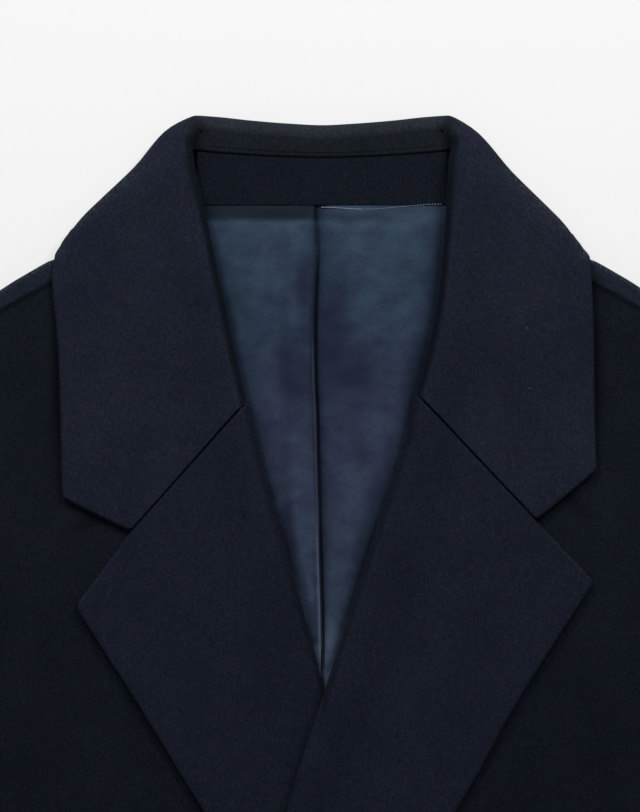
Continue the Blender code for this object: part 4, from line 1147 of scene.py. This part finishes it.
def lining_grid(side):
    """One half of the lining, which puffs up between the pleat and the roll.

    The right half ends in the pleat's fold, and the left one runs beneath it.
    """
    first, last = LINING_DEPTHS
    grid = []
    for depth in first + spaced(last - first, 130)[0]:
        outer = float(roll_x(side, min(depth, 290))) + side * LINING_UNDER
        fold = float(curve_at(PLEAT_LINE, depth)) - PLEAT_FOLD_INSET
        lap_width = PLEAT_LAP + (PLEAT_LEAST - PLEAT_LAP) * between(PLEAT_NARROWS, depth)
        raised = 1 - between(PLEAT_END, depth)
        if side < 0:
            x = fold - spaced(abs(outer - fold), 50)[0]
            near = 1 - ease((fold - x - lap_width) / (0.5 * lap_width + 4))
            lap = PLEAT_RISE * near * raised
        else:
            clear = between(PLEAT_CLEAR, depth)
            start = fold + SEAM_GAP * clear
            beneath = start - max(lap_width * (1 - clear), 0.3) * np.linspace(1, 0, 8)[:-1]
            x = np.concatenate([beneath, start + spaced(abs(outer - start), 43)[0]])
            lap = 0.0
        from_fold = side * (x - fold)
        width = max(side * (float(roll_x(side, depth)) - fold), 1.0)
        groove = 0.0 if side < 0 else PLEAT_GROOVE
        t = np.clip((from_fold - groove) / (width - groove), 0, 1) if width > 6 else 0 * x
        puff = 1 - np.abs(2 * t ** PUFF_POWER[side] - 1) ** 2.4
        puff = puff * min(PUFF, PUFF_SHARE * width)
        puff = puff * ease((depth - first) / 16) * ease((last - depth) / 40)
        puff = puff + creases(LINING_DENTS, x, depth) * ease(puff / 2)
        lip = PLEAT_LIP[0] + (PLEAT_LIP[1] - PLEAT_LIP[0]) * between((225, 250), depth)
        lip = lip * between((53, 59), depth)
        lip = lip * np.exp(-((from_fold / 3.2) ** 2)) * raised if side < 0 else 0.0
        free = (1 - ease((from_roll(side, x, depth) + 13) / 16)) * ease(from_fold / 12)
        z = lift(x, depth) + LINER_RISE + LINING / 2 + lap + puff + lip
        z = z + lining_waves(side, x, depth) * free
        grid.append(np.stack([x, depth + 0 * x, z], axis=1))
    return np.array(grid)


def facing_grid():
    """The strip in the neck, and each point's share of the wall."""
    ends = FACING_END - np.array(EDGE_LINES)
    x = np.sort(np.concatenate([np.linspace(-70.5, 70.5, 60), ends, -ends]))
    top = back_top(x) - FACING_UP
    grid, share = [], []
    for t in spaced(FACING_LENGTH, 16)[0] / FACING_LENGTH:
        depth = top + (FACING_BOTTOM_DEPTH - top) * t
        over_pleat = ease((x + PLEAT_LAP + 18) / 14) * ease((5 - x) / 6) * ease((t - 0.4) / 0.5)
        loose = FACING_LOOSE * ease((t - 0.8) / 0.12) + FACING_OVER_PLEAT * over_pleat
        grid.append(np.stack([x, depth, lift(x, depth) + LINER_RISE + FACING / 2 + loose], axis=1))
        share.append(1 - FACING_THINS * ease((t - 0.84) / 0.1))
    return np.array(grid), np.array(share)[:, None]


# ---------------------------------------------------------------- sleeves

# Creases across a sleeve: distance down it, place across it from outer edge to underarm (0 to 1),
# heading in degrees, half length, width, height
SLEEVE_CREASES = {
    -1: ((92, 0.72, 35, 60, 10, 1.6), (150, 0.80, 20, 48, 8, 1.4), (236, 0.80, -12, 52, 9, 2.0),
         (272, 0.72, 8, 60, 8, -1.2), (306, 0.78, 24, 56, 10, 2.3), (350, 0.70, 38, 44, 9, 1.3),
         (60, 0.28, 70, 52, 16, 1.2), (470, 0.42, 62, 90, 15, 1.4), (560, 0.7, 12, 36, 9, -0.8)),
    +1: ((100, 0.70, 30, 66, 11, 1.5), (168, 0.82, 16, 44, 8, 1.5), (228, 0.74, -6, 58, 9, 1.8),
         (262, 0.82, 14, 42, 8, -1.0), (296, 0.76, 30, 60, 11, 2.4), (338, 0.66, 44, 40, 8, 1.1),
         (74, 0.30, 76, 60, 18, 1.0), (452, 0.55, 70, 84, 14, 1.5), (540, 0.35, 20, 40, 10, 0.9)),
}


def sleeve_outer(distance):
    """A place on the outer fold of the sleeve, which bends at the elbow."""
    steps = max(int(distance / 10), 1)
    x, depth = SHOULDER_X + ARMHOLE_GAP, SHOULDER_DEPTH
    for k in range(steps):
        at = (k + 0.5) * distance / steps
        shoulder, elbow, cuff = SLEEVE_HEADINGS
        heading = shoulder + (elbow - shoulder) * ease(at / SLEEVE_BEND)
        heading += (cuff - elbow) * between((SLEEVE_BEND, SLEEVE_LENGTH), at)
        x += math.sin(math.radians(heading)) * distance / steps
        depth += math.cos(math.radians(heading)) * distance / steps
    return x, depth


def sleeve_inner(fraction):
    end = sleeve_outer(SLEEVE_LENGTH)
    cuff = math.radians(SLEEVE_HEADINGS[2])
    cuff_point = (end[0] - CUFF_WIDTH * math.cos(cuff), end[1] + CUFF_WIDTH * math.sin(cuff))
    return mix(UNDERARM_START, cuff_point, fraction)


def sleeve_creases(side, distance, s, width):
    total = 0.0
    for at, across, heading, half, wide, height in SLEEVE_CREASES[side]:
        along = distance - at
        aside = s - across * width
        turn = math.radians(heading)
        run = along * math.sin(turn) + aside * math.cos(turn)
        off = along * math.cos(turn) - aside * math.sin(turn) + 0.002 * run**2
        total = total + height * np.exp(-((off / wide) ** 2)) * (1 - ease(np.abs(run) / half))
    fade = ease(s / 16) * ease((width - s) / 16)
    return total * fade * ease(distance / 40) * ease((SLEEVE_LENGTH - distance) / 30)


def sleeve_grid(side):
    """The flattened tube, front layer outwards to the underarm, back layer home again."""
    grid = []
    for distance in spaced(SLEEVE_LENGTH, 110)[0]:
        fraction = distance / SLEEVE_LENGTH
        outer, inner = sleeve_outer(distance), sleeve_inner(fraction)
        across = unit(inner[0] - outer[0], inner[1] - outer[1])
        width = math.hypot(inner[0] - outer[0], inner[1] - outer[1])
        margin = SIDE_FOLD_RADIUS + WOOL / 2
        fit = max(0.0, 1 - fraction / SLEEVE_FIT)

        def place(s):
            x, depth = outer[0] + across[0] * s, outer[1] + across[1] * s
            near_end = ease(np.minimum(s, width - s) / 14) * (s > 0) * (s < width)
            return x + ((armhole_x(depth) + ARMHOLE_GAP - x) * near_end - ARMHOLE_TUCK) * fit, depth

        low, high = WOOL / 2, WOOL / 2 + FRONT_RISE
        middle = (low + high) / 2
        flat = np.linspace(margin, width - margin, 42)
        turns = np.radians(np.linspace(0, 180, 10)[1:-1])
        raised = high + sleeve_creases(side, distance, flat, width)
        out, up = SIDE_FOLD_RADIUS * np.sin(turns), SIDE_FOLD_RADIUS * np.cos(turns)
        s = np.concatenate([flat, width - margin + out, flat[::-1], margin - out])
        z = np.concatenate([raised, middle + up, 0 * flat + low, middle - up])
        x, depth = place(s)
        grid.append(np.stack([side * x, depth, z], axis=1))
    return np.array(grid)


# ---------------------------------------------------------------- buttons and sewing


def button_frame(depth):
    """Height of a button's underside and the slopes of the front beneath it."""
    r = BUTTON_RADIUS
    across = float(front_z(1, r, depth) - front_z(1, -r, depth)) / (2 * r)
    down = float(front_z(1, 0.0, depth + r) - front_z(1, 0.0, depth - r)) / (2 * r)
    return float(front_z(1, 0.0, depth)) + WOOL + LAYER_GAP, across, down


def hole_cutter(k):
    """A rod that cuts one of a button's holes."""
    rod = bmesh.new()
    bmesh.ops.create_cone(rod, cap_ends=True, segments=20, radius1=BUTTON_HOLE_RADIUS / 1000,
                          radius2=BUTTON_HOLE_RADIUS / 1000, depth=3 * BUTTON_THICKNESS / 1000)
    mesh = bpy.data.meshes.new("hole")
    rod.to_mesh(mesh)
    rod.free()
    cutter = linked("hole", mesh)
    angle = math.radians(45 + 90 * k)
    reach = BUTTON_HOLE_SPACING / math.sqrt(2) / 1000
    cutter.location = (reach * math.cos(angle), reach * math.sin(angle), BUTTON_THICKNESS / 2000)
    return cutter


def make_button(number, depth):
    """A turned four-hole button with a soft rim."""
    z, across, down = button_frame(depth)
    radius, thick = BUTTON_RADIUS, BUTTON_THICKNESS
    profile = [(0, thick - BUTTON_DISH), (radius * 0.55, thick - BUTTON_DISH)]
    for t in np.linspace(0, 1, 7):
        profile.append((radius * (0.60 + 0.14 * t), thick - BUTTON_DISH * (1 - ease(t))))
    for angle in np.radians(np.linspace(90, -35, 9)):
        out, up = math.cos(angle), math.sin(angle)
        profile.append((radius * (0.93 + 0.07 * out), thick * (0.72 + 0.28 * up)))
    profile += [(radius * 0.8, 0), (0, 0)]
    mesh = bpy.data.meshes.new(f"button_face_{number}")
    points = [(r / 1000, 0, h / 1000) for r, h in profile]
    mesh.from_pydata(points, [(i, i + 1) for i in range(len(points) - 1)], [])
    mesh.materials.append(HORN)
    piece = linked(mesh.name, mesh)
    screw = piece.modifiers.new("turned", "SCREW")
    screw.steps = screw.render_steps = 72
    screw.use_merge_vertices = True
    screw.merge_threshold = 0.00001
    cutters = [hole_cutter(k) for k in range(4)]
    for cutter in cutters:
        cut = piece.modifiers.new("hole", "BOOLEAN")
        cut.operation = "DIFFERENCE"
        cut.object = cutter
    bpy.context.view_layer.update()
    graph = bpy.context.evaluated_depsgraph_get()
    final = bpy.data.meshes.new_from_object(piece.evaluated_get(graph))
    piece.modifiers.clear()
    piece.data = final
    for cutter in cutters:
        bpy.data.objects.remove(cutter, do_unlink=True)
    piece.location = tuple(world((0, depth, z)))
    piece.rotation_euler = (-math.atan(down), -math.atan(across), 0)
    bpy.context.view_layer.update()
    final.transform(piece.matrix_world)
    piece.matrix_world.identity()
    piece.location, piece.rotation_euler = (0, 0, 0), (0, 0, 0)
    final.shade_smooth()
    final.set_sharp_from_angle(angle=math.radians(40))
    return piece


def button_threads(depth):
    """Two parallel bars of thread, three strands each, through a button's four holes."""
    z, across, down = button_frame(depth)
    top = z + BUTTON_THICKNESS - BUTTON_DISH
    reach = BUTTON_HOLE_SPACING / 2
    made = []
    for row in (-1, 1):
        for strand in (-0.55, 0.0, 0.55):
            points = []
            for t in np.linspace(-1, 1, 9):
                x, along = reach * t, row * reach + strand * (1 - 0.35 * abs(t))
                dip = -2.0 * max(0.0, abs(t) - 0.72) / 0.28
                points.append((x, depth + along, top + across * x + down * along + 0.42 + dip))
            made.append(thread(points, 0.32))
    return made


def buttonhole(depth):
    """A worked slit beside a button: close stitches round a straight opening."""
    made = []
    half_run = SLIT_LENGTH + math.pi * SLIT_HALF_WIDTH
    for at in np.arange(0, 2 * half_run, SLIT_PITCH):
        way, along = (1, at) if at < half_run else (-1, at - half_run)
        turn = max(0.0, along - SLIT_LENGTH) / SLIT_HALF_WIDTH
        out = (way * math.sin(turn), way * math.cos(turn))
        x = SLIT_CENTRE + way * (min(along, SLIT_LENGTH) - SLIT_LENGTH / 2)
        x, off = x + SLIT_HALF_WIDTH * out[0], SLIT_HALF_WIDTH * out[1]
        points = []
        for t, rise in ((-0.65, -0.1), (-0.2, 0.42), (0.3, 0.45), (0.75, 0.0)):
            px, pd = x + out[0] * t * 1.3, depth + off + out[1] * t * 1.3
            points.append((px, pd, float(front_z(1, px, pd)) + WOOL + rise))
        made.append(thread(points, 0.26, 5))
    return made


# ---------------------------------------------------------------- making the coat

# stray fibres on the leaf: x, depth, heading in radians, length
LINT_SPECKS = ((118.9, 121.8, 1.1, 1.2), (120.6, 156.6, 0.5, 1.0), (118.3, 58.0, 1.5, 1.1))

# piece, the node it replaces, slot, flat width and length in metres, area, what it rests on
SHEETS = {
    "back_cloth": ("back", "wool", 0.606, 1.028, 0.543, ()),
    "front_cloth_left": ("front_left", "wool", 0.349, 1.004, 0.280, ("back",)),
    "front_cloth_right": ("front_right", "wool", 0.349, 1.004, 0.281, ("back",)),
    "lapel_cloth_left": ("lapel_left", "wool", 0.162, 0.379, 0.0351, ("front_left",)),
    "lapel_cloth_right": ("lapel_right", "wool", 0.167, 0.370, 0.0313, ("front_right",)),
    "collar_cloth": ("collar", "wool", 0.140, 0.718, 0.0575, ("front_left", "front_right")),
    "facing_cloth": ("back_neck_facing", "wool", 0.146, 0.031, 0.0042, ("back",)),
    "lining_cloth_left": ("lining_left", "lining", 0.095, 0.307, 0.0188, ("back",)),
    "lining_cloth_right": ("lining_right", "lining", 0.076, 0.307, 0.0123, ("back",)),
    "sleeve_cloth_left": ("sleeve_left", "wool", 0.591, 0.639, 0.1945, ()),
    "sleeve_cloth_right": ("sleeve_right", "wool", 0.591, 0.639, 0.1945, ()),
}


def declare(piece):
    """Attaches a sheet of cloth to the root, and hides the solid that it stands for."""
    node, slot, width, length, area, rests_on = SHEETS[piece.name]
    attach(piece, "root")
    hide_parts(node)


def sewn(name, grids, finish):
    """Threads as one piece, which stands for no solid."""
    piece = joined(name, grids, finish)
    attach(piece, "root")
    return piece


def make_coat():
    declare(cloth("back_cloth", back_grid(), WOOL, BODY_WOOL, seams={"last": 0.9}))
    for side, word in ((-1, "right"), (1, "left")):
        grid, seams = front_grid(side), {"first": 0.9}
        declare(cloth(f"front_cloth_{word}", grid, WOOL, BODY_WOOL, seams=seams))
        grid, share = lapel_grid(side)
        grid = rounded(grid, 0, -1, TIP_RADIUS)
        notch = int(np.argmin(np.linalg.norm(grid[0, :, :2] - np.array(NOTCH[side]), axis=1)))
        seams = {"first": np.where(np.arange(grid.shape[1]) > notch, DOUBLED / 2, 0.5)}
        declare(cloth(f"lapel_cloth_{word}", grid, DOUBLED, LAPEL_WOOL, share=share, seams=seams))
        declare(cloth(f"lining_cloth_{word}", lining_grid(side), LINING, SATIN))
        declare(cloth(f"sleeve_cloth_{word}", sleeve_grid(side), WOOL, BODY_WOOL, tube=True))
    grid, share, stand = collar_grid()
    grid = rounded(rounded(grid, 0, -1, TIP_RADIUS), -1, -1, TIP_RADIUS)
    seams = {"first": 0.5, "last": 0.5, "left": 0.3}
    declare(cloth("collar_cloth", grid, DOUBLED, LEAF_WOOL, share=share, seams=seams,
                  other=(STAND_WOOL, stand)))
    grid, share = facing_grid()
    seams = {"first": 0.25, "last": 0.4}
    declare(cloth("facing_cloth", grid, FACING, FACING_WOOL, share=share, seams=seams))


def make_buttons():
    for number, depth in enumerate(BUTTON_DEPTHS, 1):
        piece = make_button(number, depth)
        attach(piece, "root")
        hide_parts(f"button_{number}")
        sewn(f"button_thread_{number}", button_threads(depth), DARK_THREAD)
        sewn(f"buttonhole_{number}", buttonhole(depth), DARK_THREAD)


def make_sewing():
    """Pick stitches that hold the pleat, the rows along the neck, and stray lint."""
    pleat = []
    for depth in np.linspace(52, 124, 60):
        x = float(curve_at(PLEAT_LINE, depth)) - PLEAT_FOLD_INSET - 1.0
        height = lift(x, depth) + LINER_RISE + LINING + PLEAT_RISE + PLEAT_LIP[0]
        pleat.append((x, depth, float(height)))
    sewn("pleat_stitches", stitches(pleat, 2.9, 1.5, 0.26), DARK_THREAD)
    # pale stitches along the lining's top edge, close and thick by the pleat, which also paint the
    # highlight on the lining's fold
    edge = []
    for x in np.linspace(-1, 71, 80):
        depth = FACING_BOTTOM_DEPTH + 1.3 + 1.1 * ease(x / 24) - 3.0 * ease((x - 24) / 46)
        edge.append((x, depth, float(lift(x, 52.0)) + LINER_RISE + LINING + 0.9))
    rows = stitches(edge[:28], 1.0, 0.95, 0.36, 0.12)  # close by the pleat, then apart
    rows += stitches(edge[27:], 1.7, 1.15, 0.25, 0.12)
    sewn("lining_edge_stitches_and_highlight", rows, PALE_THREAD_AND_HIGHLIGHT)
    grid, _, _ = collar_grid()
    out = normals(grid)
    out *= np.sign(out[..., 2:])
    on_stand = grid[:, 3] + out[:, 3] * (DOUBLED / 2 - 0.05)
    on_stand = on_stand[(np.abs(grid[:, 0, 0]) < 68) & (grid[:, 3, 1] < 30)]
    sewn("stand_stitches", stitches(on_stand, 1.25, 1.15, 0.24, 0.1), DARK_THREAD)
    specks = []
    for x, depth, turn, length in LINT_SPECKS:
        side = 1 if x > 0 else -1
        along = np.linspace(-length / 2, length / 2, 5)
        px = x + along * math.cos(turn)
        pd = depth + along * math.sin(turn) + 0.25 * np.cos(3 * along)
        top = turned_z(side, px, pd) + DOUBLED / 2 + 0.2
        specks.append(thread(np.stack([px, pd, top], axis=1), 0.16, 5))
    sewn("lint", specks, LINT)


# ---------------------------------------------------------------- floor, light and camera

VIEW_CENTRE = (-1.2, 167.0)  # x and depth
VIEW_HEIGHT = 471.0  # what the frame's height takes in
CAMERA_DISTANCE = 4000.0
SENSOR = 36.0
SKY, FLOOR_GLOW = 0.36, 0.59
LIGHT_AIM = (0.0, 0.3, 0.0)
LIGHTS = (  # name, place, size and power
    ("key", (-0.42, 1.15, 0.84), 0.45, 10.0),
    ("fill", (0.46, 1.12, 0.86), 0.5, 10.5),
)


def make_floor():
    """A pale sweep that glows a little, so that shadows on it stay faint."""
    made = Nodes("floor")
    speck = made.noise(4, 2, 0.5)
    tone = made.ramp(speck, ((0.3, (0.218, 0.218, 0.218)), (0.7, (0.222, 0.222, 0.222))))
    made.set(Base_Color=tone, Roughness=0.9, Specular_IOR_Level=0.0, Emission_Strength=FLOOR_GLOW,
             Emission_Color=(1.0, 1.0, 1.0, 1.0))
    bpy.ops.mesh.primitive_plane_add(size=30, location=(0, 0, -0.0005))
    floor = bpy.context.object
    floor.name = "floor"
    floor.data.materials.append(made.material)


def area_light(name, at, size, power):
    """A round soft light turned towards the collar."""
    data = bpy.data.lights.new(name, "AREA")
    data.shape = "DISK"
    data.size = size
    data.energy = power
    made = linked(name, data)
    made.location = at
    made.rotation_euler = (Vector(LIGHT_AIM) - Vector(at)).to_track_quat("-Z", "Y").to_euler()


def make_stage():
    make_floor()
    sky = bpy.data.worlds.new("studio")
    sky.use_nodes = True
    sky.node_tree.nodes["Background"].inputs["Color"].default_value = (1, 1, 1, 1)
    sky.node_tree.nodes["Background"].inputs["Strength"].default_value = SKY
    bpy.context.scene.world = sky
    for name, at, size, power in LIGHTS:
        area_light(name, at, size, power)
    settings = bpy.context.scene.view_settings
    settings.view_transform = "Standard"
    settings.look = "None"


def make_camera():
    """Straight above the collar and chest."""
    data = bpy.data.cameras.new("camera")
    data.sensor_width = SENSOR
    data.lens = SENSOR * CAMERA_DISTANCE / VIEW_HEIGHT
    data.clip_end = 50
    camera = linked("camera", data)
    x, y, _ = world((*VIEW_CENTRE, 0))
    camera.location = (x, y, (CAMERA_DISTANCE + 15) / 1000)
    bpy.context.scene.camera = camera


make_camera()
make_coat()
make_buttons()
make_sewing()
make_stage()
